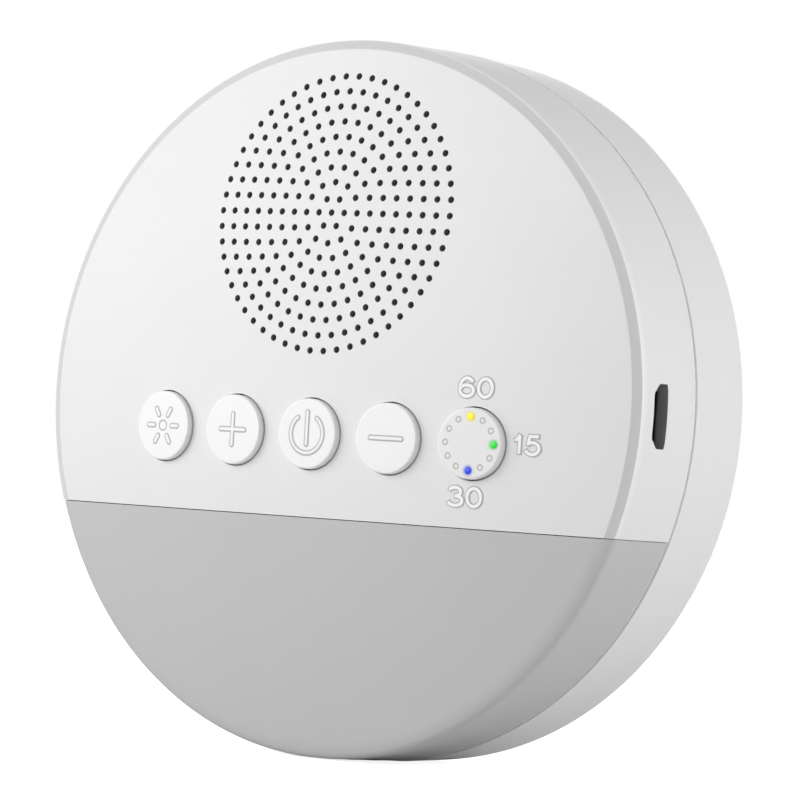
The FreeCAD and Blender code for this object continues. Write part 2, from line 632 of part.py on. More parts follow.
def speaker_frame():
    """Pressed steel basket: rim, four windows in its sloping wall, and a floor for the magnet."""
    inner_rim = SPEAKER_RADIUS - SEAT_WIDTH - GASKET_WIDTH
    step = SPEAKER_RADIUS - GASKET_WIDTH - 0.1
    frame = turned_outline(
        [
            (inner_rim, RIM_FRONT + SURROUND_SHEET),
            (step, RIM_FRONT + SURROUND_SHEET),
            (step, RIM_FRONT),
            (SPEAKER_RADIUS, RIM_FRONT),
            (SPEAKER_RADIUS, RIM_BACK),
            (inner_rim + BASKET_SHEET, RIM_BACK),
            (BASKET_FLOOR_RADIUS, BASKET_BACK),
            (COIL_RADIUS + COIL_GAP, BASKET_BACK),
            (COIL_RADIUS + COIL_GAP, BASKET_BACK - BASKET_SHEET),
            (BASKET_FLOOR_RADIUS - BASKET_SHEET, BASKET_BACK - BASKET_SHEET),
            (inner_rim, RIM_BACK),
        ],
        0.0,
        GRILLE_HEIGHT,
    )
    window = (BIG, BASKET_DEPTH - 2 * BASKET_SHEET - 0.6, SPEAKER_RADIUS * 0.8)
    first = block(window, 0.0, RIM_BACK + 0.6, GRILLE_HEIGHT)
    second = first.copy()
    second.rotate(Vector(0, 0, GRILLE_HEIGHT), Vector(0, 1, 0), 90)
    inside = rod(2 * (MAGNET_DIAMETER / 2 + 0.5), RIM_BACK, BASKET_BACK, 0.0, GRILLE_HEIGHT)
    return frame.cut([first.cut(inside), second.cut(inside)])


def speaker_surround():
    """Rubber roll between the frame's rim and the cone."""
    outer = SPEAKER_RADIUS - GASKET_WIDTH - 0.15
    start = SPEAKER_RADIUS - SEAT_WIDTH - GASKET_WIDTH
    front = RIM_FRONT
    sheet = SURROUND_SHEET
    middle = (start + CONE_RADIUS) / 2
    rise = 0.8
    half_top = (start - CONE_RADIUS) / 5
    over = [(CONE_RADIUS - 1.0, front), (CONE_RADIUS, front), (middle - half_top, front - rise)]
    over += [(middle + half_top, front - rise), (start, front), (outer, front)]
    under = [(r, d + sheet) for r, d in reversed(over)]
    return panelled(over + under, GRILLE_HEIGHT)


def cone_depth(radius):
    """Front face of the cone: it falls from the surround to the voice coil."""
    share = (CONE_RADIUS - radius) / (CONE_RADIUS - COIL_RADIUS)
    return RIM_FRONT + SURROUND_SHEET + share * 3.4


def speaker_cone():
    inner = COIL_RADIUS * PANEL_REACH
    points = [(inner, cone_depth(inner)), (CONE_RADIUS - 0.2, cone_depth(CONE_RADIUS - 0.2))]
    points += [(r, d + CONE_SHEET) for r, d in reversed(points)]
    return panelled(points, GRILLE_HEIGHT)


def speaker_dust_cap():
    """Small dome glued over the middle of the cone."""
    edge = COIL_RADIUS + 1.2
    rise = 1.7
    over = [(0, cone_depth(edge) - rise), (edge * 0.6, cone_depth(edge) - rise * 0.66), (edge, cone_depth(edge))]
    under = [(edge - CONE_SHEET, cone_depth(edge - CONE_SHEET))]
    under += [(edge * 0.55, over[1][1] + CONE_SHEET), (0, over[0][1] + CONE_SHEET)]
    return panelled(over + under, GRILLE_HEIGHT)


def speaker_voice_coil():
    inner = COIL_RADIUS - COIL_WALL
    return ring(inner, COIL_RADIUS, cone_depth(COIL_RADIUS), BASKET_BACK + POLE_PLATE, 0.0, GRILLE_HEIGHT)


def speaker_spider():
    """Corrugated disc that centres the coil, standing on the basket's floor."""
    floor = BASKET_BACK - BASKET_SHEET
    sheet = 0.3
    rim = COIL_RADIUS + 8.0
    waves = 2
    step = (rim - 1.0 - COIL_RADIUS * PANEL_REACH) / (2 * waves)
    path = [(rim, floor - sheet), (rim - 1.0, floor - sheet)]
    for i in range(1, 2 * waves + 1):
        path.append((rim - 1.0 - i * step, floor - sheet - (1.0 if i % 2 else 0.5)))
    under = [(r, d + sheet) for r, d in reversed(path)]
    return panelled(path + under, GRILLE_HEIGHT)


def speaker_top_plate():
    inner = COIL_RADIUS + COIL_GAP
    return ring(inner, MAGNET_DIAMETER / 2 - 1.0, BASKET_BACK, BASKET_BACK + POLE_PLATE, 0.0, GRILLE_HEIGHT)


def speaker_magnet():
    front = BASKET_BACK + POLE_PLATE
    return ring(MAGNET_HOLE / 2, MAGNET_DIAMETER / 2, front, front + MAGNET_THICKNESS, 0.0, GRILLE_HEIGHT)


def speaker_yoke():
    """Back plate with the pole that stands inside the voice coil."""
    front = BASKET_BACK + POLE_PLATE + MAGNET_THICKNESS
    pole = 2 * (COIL_RADIUS - COIL_WALL - COIL_GAP)
    plate = rod(MAGNET_DIAMETER - 2.0, front, front + YOKE_PLATE, 0.0, GRILLE_HEIGHT)
    return union(plate, rod(pole, BASKET_BACK - 0.2, front + YOKE_PLATE / 2, 0.0, GRILLE_HEIGHT))


TERMINAL_SIZE = (5.2, 0.8, 9.0)
TERMINAL_X = -(SPEAKER_RADIUS + 1.2)


def speaker_terminal():
    """Terminal strip on the back of the basket's rim, at its left, with two solder lugs."""
    strip = block(TERMINAL_SIZE, TERMINAL_X, RIM_BACK, GRILLE_HEIGHT)
    lugs = [block((3.0, 0.4, 1.4), TERMINAL_X, RIM_BACK + TERMINAL_SIZE[1], GRILLE_HEIGHT + side * 2.4)
            for side in (-1, 1)]
    return union(strip, *lugs)


def lamp_board():
    """White board in the lamp, shaped like the lamp's segment."""
    radius = RIM_RADIUS - SIDE_WALL - LAMP_BOARD_MARGIN
    front = BOARD_FRONT - BOARD_THICKNESS
    board = rod(2 * radius, front, BOARD_FRONT).common(below(LAMP_TOP - LAMP_BOARD_DROP))
    width = SCREW_DIAMETER + 2 * SHANK_CLEARANCE
    return board.cut([rod(width, front - 1.0, BOARD_FRONT + 1.0, x, z) for x, z in LAMP_SCREW_PLACES])


def lamp_leds():
    front = BOARD_FRONT - BOARD_THICKNESS - LED_HEIGHT
    first = -(LED_COUNT - 1) / 2 * LED_SPACING
    size = (LED_WIDTH, LED_HEIGHT, LED_WIDTH)
    row = LAMP_TOP - LED_ROW_DROP
    return Part.makeCompound([block(size, first + i * LED_SPACING, front, row) for i in range(LED_COUNT)])


def lamp_screw(x, z):
    """A screw that holds the lamp board to the tray, driven from the front."""
    front = BOARD_FRONT - BOARD_THICKNESS
    head = rod(SCREW_HEAD, front - SCREW_HEAD_HEIGHT, front, x, z)
    shank = prism(HOLE_SIDES, SCREW_DIAMETER, front - SCREW_HEAD_HEIGHT / 2, front + BITE, x, z)
    return union(head, shank)


CELL_BACK = CASE_DEPTH - BACK_WALL - TAPE_THICKNESS
CELL_FRONT = CELL_BACK - CELL_THICKNESS


def battery_cell():
    """Flat cell with rounded long edges and a sealed fold along its top."""
    cell = block((CELL_WIDTH, CELL_THICKNESS, CELL_HEIGHT), 0.0, CELL_FRONT, CELL_MIDDLE)
    edges = [e for e in cell.Edges if e.BoundBox.ZLength > CELL_HEIGHT / 2]
    return cell.makeChamfer(CELL_ROUNDING / 2, edges)


def battery_tape():
    size = (CELL_WIDTH - 2 * CELL_ROUNDING, TAPE_THICKNESS, CELL_HEIGHT - 2 * CELL_ROUNDING)
    return block(size, 0.0, CELL_BACK, CELL_MIDDLE)


def lead(points):
    """A wire along straight runs joined by bends, through points given as (x, depth, z)."""
    corners = [Vector(*p) for p in points]
    edges = []
    start = corners[0]
    for before, here, after in zip(corners, corners[1:], corners[2:]):
        towards = (before - here).normalize()
        away = (after - here).normalize()
        enter = here + towards * LEAD_BEND
        leave = here + away * LEAD_BEND
        centre = here + (towards + away) * LEAD_BEND
        middle = centre - (towards + away).normalize() * LEAD_BEND
        edges.append(Part.makeLine(start, enter))
        edges.append(Part.Arc(enter, middle, leave).toShape())
        start = leave
    edges.append(Part.makeLine(start, corners[-1]))
    first = (corners[1] - corners[0]).normalize()
    circle = Part.makeCircle(LEAD_DIAMETER / 2, corners[0], first)
    section = Part.makePolygon(circle.discretize(HOLE_SIDES + 1))
    return Part.Wire(edges).makePipeShell([section], True, False)


WIRE_DEPTH = BOARD_BACK + CONNECTOR_SIZE[1] / 2
SPEAKER_CONNECTOR = (TERMINAL_X, -4.5)
BATTERY_CONNECTOR = (16.2, -4.5)
LAMP_CONNECTOR = (lamp_wire_place()[0], -9.5)
PLUG_DEPTH = 2.0 * CONNECTOR_WALL


def speaker_lead(side):
    """From a lug of the terminal strip straight back, then down to the connector."""
    x = SPEAKER_CONNECTOR[0] + side * LEAD_SPACING / 2
    z = GRILLE_HEIGHT + side * 2.4
    start = RIM_BACK + TERMINAL_SIZE[1] + 0.4
    end = SPEAKER_CONNECTOR[1] + CONNECTOR_SIZE[2] / 2 - PLUG_DEPTH
    return lead([(x, start, z), (x, WIRE_DEPTH, z), (x, WIRE_DEPTH, end)])


def battery_lead(side):
    """Out of the cell's top, forward past the speaker, and down to the connector."""
    x = BATTERY_CONNECTOR[0] + side * LEAD_SPACING / 2
    depth = (CELL_FRONT + CELL_BACK) / 2
    top = CELL_MIDDLE + CELL_HEIGHT / 2
    over = top + LEAD_BEND + 1.0
    end = BATTERY_CONNECTOR[1] + CONNECTOR_SIZE[2] / 2 - PLUG_DEPTH
    return lead([(x, depth, top), (x, depth, over), (x, WIRE_DEPTH, over), (x, WIRE_DEPTH, end)])


def lamp_lead(side):
    """From the back of the lamp board through the tray, then up to the connector."""
    x = LAMP_CONNECTOR[0] + side * LEAD_SPACING / 2
    z = lamp_wire_place()[1]
    end = LAMP_CONNECTOR[1] - CONNECTOR_SIZE[2] / 2 + PLUG_DEPTH
    return lead([(x, BOARD_FRONT, z), (x, WIRE_DEPTH, z), (x, WIRE_DEPTH, end)])


def save_case():
    save("front_shell", front_shell())
    save("lamp_cover", lamp_cover())
    save("rear_shell", rear_shell())
    save("base_pad", pad_block())
    bearing = CASE_JOINT_DEPTH + POST_FLOOR
    places = case_screw_places()
    save("case_screws", Part.makeCompound([screw(x, z, bearing, POST_FLOOR + BITE) for x, z in places]))


def save_buttons():
    for name, x in button_places():
        save(name + "_button", button_cap(name, x))
        save(name + "_plunger", switch_plunger(x))
        save(name + "_switch", switch_body(x))
    timer_x = button_places()[-1][1]
    for colour in LENS_MARKS:
        save("timer_lens_" + colour, timer_lens(timer_x, colour))
    save("timer_leds", timer_leds())


def save_board():
    save("main_board", main_board())
    length = BOARD_THICKNESS + BITE - 1.0
    save("board_screws", Part.makeCompound([screw(x, z, BOARD_BACK, length) for x, z in BOARD_SCREW_PLACES]))
    save("sound_chip", block((10.0, CHIP_HEIGHT, 6.0), -6.0, BOARD_BACK, -6.0))
    save("amplifier_chip", block((5.0, CHIP_HEIGHT, 4.0), -15.0, BOARD_BACK, -5.0))
    save("charging_chip", block((5.0, CHIP_HEIGHT, 4.0), 34.0, BOARD_BACK, -6.0))
    save("capacitor", rod(CAPACITOR_DIAMETER, BOARD_BACK, BOARD_BACK + CAPACITOR_HEIGHT, 28.5, -9.5))
    save("socket_shell", socket_shell())
    save("socket_tongue", socket_tongue())
    save("speaker_connector", wire_connector(*SPEAKER_CONNECTOR, 1))
    save("battery_connector", wire_connector(*BATTERY_CONNECTOR, 1))
    save("lamp_connector", wire_connector(*LAMP_CONNECTOR, -1))


def save_speaker():
    mesh_back = SPEAKER_SEAT + MESH_THICKNESS
    save("acoustic_mesh", rod(2 * SPEAKER_RADIUS, SPEAKER_SEAT, mesh_back, 0.0, GRILLE_HEIGHT))
    gasket_inner = SPEAKER_RADIUS - GASKET_WIDTH
    save("speaker_gasket", ring(gasket_inner, SPEAKER_RADIUS, mesh_back, RIM_FRONT, 0.0, GRILLE_HEIGHT))
    save("speaker_frame", speaker_frame())
    save("speaker_surround", speaker_surround())
    save("speaker_cone", speaker_cone())
    save("speaker_dust_cap", speaker_dust_cap())
    save("speaker_voice_coil", speaker_voice_coil())
    save("speaker_spider", speaker_spider())
    save("speaker_top_plate", speaker_top_plate())
    save("speaker_magnet", speaker_magnet())
    save("speaker_yoke", speaker_yoke())
    save("speaker_terminal", speaker_terminal())
    screws = [screw(x, z, RIM_BACK, 2.5, WASHER_DIAMETER, WASHER_HEIGHT) for x, z in speaker_screw_places()]
    save("speaker_screws", Part.makeCompound(screws))


def save_lamp_and_battery():
    save("lamp_board", lamp_board())
    save("lamp_leds", lamp_leds())
    save("lamp_screws", Part.makeCompound([lamp_screw(x, z) for x, z in LAMP_SCREW_PLACES]))
    save("battery_cell", battery_cell())
    save("battery_tape", battery_tape())


def save_leads():
    for colour, side in (("red", 1), ("black", -1)):
        save("speaker_lead_" + colour, speaker_lead(side))
        save("battery_lead_" + colour, battery_lead(side))
        save("lamp_lead_" + colour, lamp_lead(side))


save_case()
save_buttons()
save_board()
save_speaker()
save_lamp_and_battery()
save_leads()
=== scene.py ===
# %% [markdown]
# # A white noise sound machine
# The object is a round, shallow case of white moulded plastic. It stands on its rim, with a domed face, a
# drilled speaker grille, a row of five push buttons and a grey lamp segment below. The working parts come
# as a fixed frame, and this file dresses what can be seen of them.

# %% Load the frame
import json
import math

import bpy
import numpy as np
from mathutils import Matrix, Vector
from mathutils.geometry import delaunay_2d_cdt

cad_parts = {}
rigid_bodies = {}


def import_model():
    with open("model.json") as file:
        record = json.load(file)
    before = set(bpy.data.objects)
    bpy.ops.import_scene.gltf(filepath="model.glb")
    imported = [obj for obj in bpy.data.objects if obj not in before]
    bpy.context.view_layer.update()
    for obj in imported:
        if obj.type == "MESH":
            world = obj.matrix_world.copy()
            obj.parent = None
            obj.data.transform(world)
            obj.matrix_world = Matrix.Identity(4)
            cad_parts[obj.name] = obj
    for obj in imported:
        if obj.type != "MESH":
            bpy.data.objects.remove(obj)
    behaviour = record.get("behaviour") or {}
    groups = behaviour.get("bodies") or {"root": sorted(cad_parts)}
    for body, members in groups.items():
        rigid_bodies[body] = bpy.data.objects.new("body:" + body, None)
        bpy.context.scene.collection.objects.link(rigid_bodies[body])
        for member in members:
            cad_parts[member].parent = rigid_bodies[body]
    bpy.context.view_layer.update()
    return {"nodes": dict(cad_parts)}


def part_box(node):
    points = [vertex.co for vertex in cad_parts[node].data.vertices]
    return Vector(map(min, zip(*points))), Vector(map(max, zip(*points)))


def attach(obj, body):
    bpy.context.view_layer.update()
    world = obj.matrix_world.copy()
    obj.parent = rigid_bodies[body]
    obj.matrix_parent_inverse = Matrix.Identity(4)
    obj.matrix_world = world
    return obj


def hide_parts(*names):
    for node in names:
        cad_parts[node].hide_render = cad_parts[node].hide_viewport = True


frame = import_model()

MM = 0.001
nodes = frame["nodes"]

# %% [markdown]
# ## Where things are
# All shapes below are written in millimetres in the case's own terms: x to the right, a depth that starts
# at the middle of the domed face, and a height above the middle of the disc. Two numbers, read from the
# frame, carry them into the scene: how far forward the face's middle lies, and how high the disc's middle
# stands above the table.

# %% Sizes of the case
FACE_RADIUS, FACE_DOME = 50.0, 5.0
BEVEL_WIDTH, BEVEL_DEPTH = 1.35, 0.7
SEAM_RADIUS, SEAM_DEPTH, SEAM_GROOVE = 51.8, 19.0, 0.35
REAR_RADIUS, CASE_DEPTH, REAR_ROUNDING = 51.6, 33.5, 2.0
FACE_WALL, SIDE_WALL, BACK_WALL = 2.0, 1.8, 2.0
RIM_RADIUS = FACE_RADIUS + BEVEL_WIDTH
RIM_DEPTH = FACE_DOME + BEVEL_DEPTH
DOME_RADIUS = (FACE_RADIUS**2 + FACE_DOME**2) / (2 * FACE_DOME)
BUTTON_PROUD = 1.0
LAMP_TOP, COVER_GAP = -17.2, 0.12

APEX_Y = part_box("power_button")[0].y / MM + BUTTON_PROUD
CENTRE_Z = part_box("rear_shell")[1].z / MM - SEAM_RADIUS
BASE = -CENTRE_Z
print("face middle at y", round(APEX_Y, 2), "mm, disc middle at z", round(CENTRE_Z, 2), "mm")


def dome_depth(distance, behind=0.0):
    """Depth of a ball's near side: the ball's radius less the height of the circle at that distance."""
    return DOME_RADIUS - np.sqrt((DOME_RADIUS - behind) ** 2 - np.square(distance))


def side_radius(depth):
    """Radius of the side: straight from the bevel out to the seam, then straight in to the back."""
    return np.interp(depth, [RIM_DEPTH, SEAM_DEPTH, CASE_DEPTH], [RIM_RADIUS, SEAM_RADIUS, REAR_RADIUS])


def to_scene(x, depth, height):
    """Case millimetres to scene metres, with everything below the base flat lifted onto it."""
    height = np.maximum(height, BASE)
    return np.stack([x, depth + APEX_Y, height + CENTRE_Z], axis=-1) * MM


# %% [markdown]
# ## Camera
# A long lens, about four degrees of roll and a turn of 35 degrees to the right give the product
# photograph's view. The numbers come from fitting a pinhole camera to the rings of grille holes and to
# the case's outline. The camera looks very slightly upwards.

# %% Camera
CAMERA_TURN, CAMERA_TILT, CAMERA_ROLL = 34.767, -1.306, 3.975
CAMERA_PLACE = (384.77, -532.67, -14.71)
FOCAL_PIXELS, PICTURE_PIXELS, SENSOR = 4635.6, 800, 36.0


def make_camera():
    """The view axis comes from turn and tilt, and the roll turns the other two axes about it."""
    turn, tilt, roll = (math.radians(a) for a in (CAMERA_TURN, CAMERA_TILT, CAMERA_ROLL))
    back = Vector((math.sin(turn) * math.cos(tilt), -math.cos(turn) * math.cos(tilt), math.sin(tilt)))
    right = Vector((math.cos(turn), math.sin(turn), 0.0))
    up = back.cross(right)
    across = right * math.cos(roll) + up * math.sin(roll)
    upwards = up * math.cos(roll) - right * math.sin(roll)
    data = bpy.data.cameras.new("camera")
    data.sensor_width = SENSOR
    data.lens = SENSOR * FOCAL_PIXELS / PICTURE_PIXELS
    data.clip_start, data.clip_end = 0.01, 20.0
    camera = bpy.data.objects.new("camera", data)
    bpy.context.scene.collection.objects.link(camera)
    x, depth, height = CAMERA_PLACE
    place = Vector((x, depth + APEX_Y, height + CENTRE_Z)) * MM
    axes = Matrix((across, upwards, back)).transposed()
    camera.matrix_world = Matrix.Translation(place) @ axes.to_4x4()
    bpy.context.scene.camera = camera
    return camera


camera = make_camera()
print("camera lens", round(camera.data.lens, 1), "mm")

# %% [markdown]
# ## Writing a mesh
# Every new piece is worked out as whole arrays: points, and faces that index them. One helper writes the
# arrays, shades the surface smoothly, and keeps an edge crisp where two faces meet at more than 35
# degrees.

# %% Mesh helpers
CRISP = math.radians(35)


def make_piece(name, points, faces, material, body="housing", materials_of_faces=None):
    """Points and faces as arrays become an object that rides on a body of the frame."""
    mesh = bpy.data.meshes.new(name)
    mesh.from_pydata(points.tolist(), [], [list(f) for f in faces])
    mesh.update()
    mesh.shade_smooth()
    mesh.set_sharp_from_angle(angle=CRISP)
    piece = bpy.data.objects.new(name, mesh)
    bpy.context.scene.collection.objects.link(piece)
    for one in material if isinstance(material, (list, tuple)) else [material]:
        mesh.materials.append(one)
    if materials_of_faces is not None:
        mesh.polygons.foreach_set("material_index", np.asarray(materials_of_faces, np.int32))
    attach(piece, body)
    return piece


def paint(piece, name, values):
    """One number per point, kept as an attribute that a material can read."""
    layer = piece.data.attributes.new(name, "FLOAT", "POINT")
    layer.data.foreach_set("value", np.asarray(values, np.float32))


def grid_faces(rows, columns):
    """Quads of a grid of points, row after row, with the last column joined to the first."""
    r, c = np.meshgrid(np.arange(rows - 1), np.arange(columns), indexing="ij")
    here = r * columns + c
    right = r * columns + (c + 1) % columns
    return np.stack([here, right, right + columns, here + columns], axis=-1).reshape(-1, 4)


def turned(profile, x, height, steps):
    """A closed profile of (radius, depth), turned: x and height are the radius times cosine and sine."""
    profile = np.asarray(profile, float)
    angle = np.linspace(0, 2 * np.pi, steps, endpoint=False)
    radius, depth = profile[:, :1], profile[:, 1:]
    points = to_scene(
        x + radius * np.cos(angle), depth + 0 * angle, height + radius * np.sin(angle)
    ).reshape(-1, 3)
    rows = len(profile)
    faces = grid_faces(rows, steps)
    last = np.stack([np.arange(steps), np.roll(np.arange(steps), -1)], axis=-1)
    closing = np.concatenate([last + (rows - 1) * steps, last[:, ::-1]], axis=1)
    return points, np.concatenate([faces, closing])


print("helpers ready")

# %% [markdown]
# ## Shader maths
# Materials are written as sums. A small class wraps a socket of a node, so that adding or multiplying two
# of them adds the Math node that does it, and one method makes any other node from its type, settings and
# inputs.

# %% Shader expressions
class Maths:
    """A number socket in a node tree, with Python's operators."""

    def __init__(self, tree, socket):
        self.tree, self.socket = tree, socket

    def _math(self, operation, first, second):
        node = self.tree.nodes.new("ShaderNodeMath")
        node.operation = operation
        for place, value in zip(node.inputs, (first, second)):
            if isinstance(value, Maths):
                self.tree.links.new(value.socket, place)
            else:
                place.default_value = value
        return Maths(self.tree, node.outputs[0])

    def __add__(self, other):
        return self._math("ADD", self, other)

    __radd__ = __add__

    def __mul__(self, other):
        return self._math("MULTIPLY", self, other)

    __rmul__ = __mul__

    def limited(self):
        """The same number, kept between 0 and 1."""
        kept = self._math("ADD", self, 0.0)
        kept.socket.node.use_clamp = True
        return kept


class Shader:
    """A material's node tree and its Principled node."""

    def __init__(self, name):
        self.material = bpy.data.materials.new(name)
        self.material.use_nodes = True
        self.tree = self.material.node_tree
        self.surface = self.tree.nodes["Principled BSDF"]

    def node(self, kind, settings=None, inputs=None, output=0):
        """Any node: its settings first, then the values or links of its inputs."""
        node = self.tree.nodes.new(kind)
        for key, value in (settings or {}).items():
            setattr(node, key, value)
        for key, value in (inputs or {}).items():
            self.link(value, node.inputs[key])
        return Maths(self.tree, node.outputs[output])

    def link(self, value, place):
        if isinstance(value, Maths):
            self.tree.links.new(value.socket, place)
        else:
            place.default_value = value

    def set(self, **values):
        for key, value in values.items():
            self.link(value, self.surface.inputs[key.replace("_", " ")])

    def objects(self):
        return self.node("ShaderNodeTexCoord", output="Object")

    def noise(self, scale, detail=3.0, roughness=0.5):
        where = {"Vector": self.objects(), "Scale": scale, "Detail": detail, "Roughness": roughness}
        return self.node("ShaderNodeTexNoise", inputs=where, output="Fac")

    def attribute(self, name):
        return self.node("ShaderNodeAttribute", {"attribute_name": name}, output="Fac")

    def mix(self, factor, first, second):
        """A mix of two colours, each given as three numbers or as a link."""
        node = self.tree.nodes.new("ShaderNodeMix")
        node.data_type = "RGBA"
        self.link(factor, node.inputs[0])
        colour_places = [place for place in node.inputs if place.type == "RGBA"]
        for place, colour in zip(colour_places, (first, second)):
            self.link(colour if isinstance(colour, Maths) else (*colour, 1.0), place)
        return Maths(self.tree, next(place for place in node.outputs if place.type == "RGBA"))

    def bump(self, height, strength, distance):
        """Tilts the normal by a height. The distance is the height's full range, in metres."""
        node = self.tree.nodes.new("ShaderNodeBump")
        node.inputs["Strength"].default_value = strength
        node.inputs["Distance"].default_value = distance
        self.tree.links.new(height.socket, node.inputs["Height"])
        self.tree.links.new(node.outputs[0], self.surface.inputs["Normal"])


def linear(*levels):
    """Screen levels from 0 to 255 as the linear numbers that shaders use."""
    share = np.asarray(levels, float) / 255
    return tuple(np.where(share <= 0.04045, share / 12.92, ((share + 0.055) / 1.055) ** 2.4).tolist())


print("mid grey is", round(linear(128)[0], 3))

# %% [markdown]
# ## Moulded plastic
# The case is a satin moulding. Close up, such plastic isn't even: the mould leaves a very fine grain, and
# handling leaves patches that shine a little more or less. So each plastic has a fine noise for its
# grain, which only tilts the light, and a broad one for its colour and sheen. Other colours come in as
# attributes on the points: painted shade on the bevel of the case, a painted highlight on its outer
# corner, and the grey lines of the signs.

# %% Plastics
PATCH_SCALE, GRAIN_SCALE = 60.0, 9000.0
GRAIN_TILT, GRAIN_DEPTH = 0.1, 0.00002
SHEEN_RANGE = 0.08


def plastic(name, colour, shade, roughness=0.38, marks=None):
    """Two close colours mixed by a broad noise, a colour for each attribute, and a grain in the normal."""
    shader = Shader(name)
    broad = shader.noise(PATCH_SCALE, 4.0)
    body = shader.mix(broad, colour, shade)
    for attribute, tint in (marks or {}).items():
        body = shader.mix(shader.attribute(attribute), body, tint)
    shader.set(Base_Color=body, Roughness=broad * SHEEN_RANGE + (roughness - SHEEN_RANGE / 2))
    shader.bump(shader.noise(GRAIN_SCALE, 2.0), GRAIN_TILT, GRAIN_DEPTH)
    return shader.material


# The bevel's darker colour is painted shade, and the outer corner's near-white colour is a painted highlight;
# the rim and edge attributes say where each lies.
BEVEL_SHADE, CORNER_HIGHLIGHT, SIGN_LINE = linear(214, 213, 213), linear(254, 254, 254), linear(176, 174, 174)
WHITE = plastic("white_plastic", linear(235, 234, 234), linear(232, 231, 231),
                marks={"rim": BEVEL_SHADE, "edge": CORNER_HIGHLIGHT})
WHITE_KEYS = plastic("white_key_plastic", linear(250, 250, 250), linear(247, 247, 247), 0.42,
                     {"line": SIGN_LINE})
LAMP_GREY = plastic("lamp_cover_plastic", linear(196, 196, 196), linear(193, 193, 193), 0.5)
# The walls of the grille holes and of the port get these darker colours as painted shade.
HOLE_SHADE = plastic("hole_painted_shade", linear(150, 148, 148), linear(138, 136, 136), 0.7)
PORT_SHADE = plastic("port_painted_shade", linear(158, 156, 156), linear(146, 144, 144), 0.6)
NUMBER_WHITE = plastic("number_white", linear(255, 255, 255), linear(252, 252, 252), 0.45)
# The grey of the numbers' edges is painted shade.
NUMBER_EDGE_SHADE = plastic("number_edge", linear(186, 184, 184), linear(180, 178, 178), 0.5)
print("plastics ready")

# %% [markdown]
# ## Skins of the case
# The face, its bevel and the side are one moulding, with 277 holes through it. A grid can't follow so
# many holes, so the skin is laid out flat first: a point keeps its angle, and its distance from the
# middle is measured along the case's profile. There the hole rims, seams and rings of points are joined
# into triangles by a constrained Delaunay step. The same triangles are then lifted twice, onto the
# outside and the inside of the wall, and every free edge gets a strip between the two. That gives round
# holes with real walls, and a closed solid.

# %% Profile of a skin
CORNER_STEPS, DOME_STEPS, BACK_STEPS, ROUND_STEPS, SIDE_STEPS = 5, 60, 30, 9, 12
CRISP_EDGES, ROLLED_EDGES = (0.12, 0.18, 0.05), (0.75, 0.75, 0.05)
SEAM_CHAMFER, GROOVE_CHAMFER = 0.12, 0.08
FILL_END, DOME_END, BEVEL_RUN = FACE_RADIUS - 2.0, FACE_RADIUS - 1.2, FACE_RADIUS - 0.9
EDGE_START, CHORD_END = FACE_RADIUS - 1.5, FACE_RADIUS - 1.4


def rounded(points, radii):
    """A line with rounded corners: a quadratic curve between the two places at a distance from each."""
    points = np.asarray(points, float)
    out = [points[:1]]
    for before, here, after, radius in zip(points, points[1:], points[2:], radii):
        to_before = (before - here) / np.linalg.norm(before - here)
        to_after = (after - here) / np.linalg.norm(after - here)
        t = np.linspace(0, 1, CORNER_STEPS)[:, None]
        first, last = here + to_before * radius, here + to_after * radius
        out.append((1 - t) ** 2 * first + 2 * t * (1 - t) * here + t**2 * last)
    return np.concatenate(out + [points[-1:]])


def front_profile(rounding):
    """Dome, bevel and side as (radius, depth), with softly rounded edges and a small chamfer at the seam."""
    dome = np.linspace(0, DOME_END, DOME_STEPS)
    slope = (SEAM_RADIUS - RIM_RADIUS) / (SEAM_DEPTH - RIM_DEPTH)
    corners = [
        (BEVEL_RUN, dome_depth(BEVEL_RUN)),
        (FACE_RADIUS, FACE_DOME),
        (RIM_RADIUS, RIM_DEPTH),
        (SEAM_RADIUS - SEAM_CHAMFER * slope, SEAM_DEPTH - SEAM_CHAMFER),
        (SEAM_RADIUS - SEAM_CHAMFER, SEAM_DEPTH),
    ]
    edge = rounded(corners, rounding)
    seam = len(edge) - CORNER_STEPS - 1
    side = np.linspace(edge[seam - 1], edge[seam], SIDE_STEPS)[1:-1]
    return np.concatenate([np.stack([dome, dome_depth(dome)], axis=-1), edge[:seam], side, edge[seam:]])


def rear_profile():
    """Flat back, rounded edge, side and the small groove at the seam as (radius, depth)."""
    middle = REAR_RADIUS - REAR_ROUNDING
    back = np.linspace(0, middle - 1.0, BACK_STEPS)
    quarter = np.linspace(0, np.pi / 2, ROUND_STEPS)
    edge = np.stack([
        middle + REAR_ROUNDING * np.sin(quarter),
        CASE_DEPTH - REAR_ROUNDING + REAR_ROUNDING * np.cos(quarter),
    ], axis=-1)
    groove_back = SEAM_DEPTH + SEAM_GROOVE
    side_depth = np.linspace(CASE_DEPTH - REAR_ROUNDING - 1, groove_back + GROOVE_CHAMFER, SIDE_STEPS)
    side = np.stack([side_radius(side_depth), side_depth], axis=-1)
    groove = [
        (SEAM_RADIUS - GROOVE_CHAMFER, groove_back),
        (SEAM_RADIUS - SEAM_GROOVE, groove_back),
        (SEAM_RADIUS - SEAM_GROOVE, SEAM_DEPTH),
    ]
    flat = np.stack([back, np.full(BACK_STEPS, CASE_DEPTH)], axis=-1)
    return np.concatenate([flat, edge, side, groove])


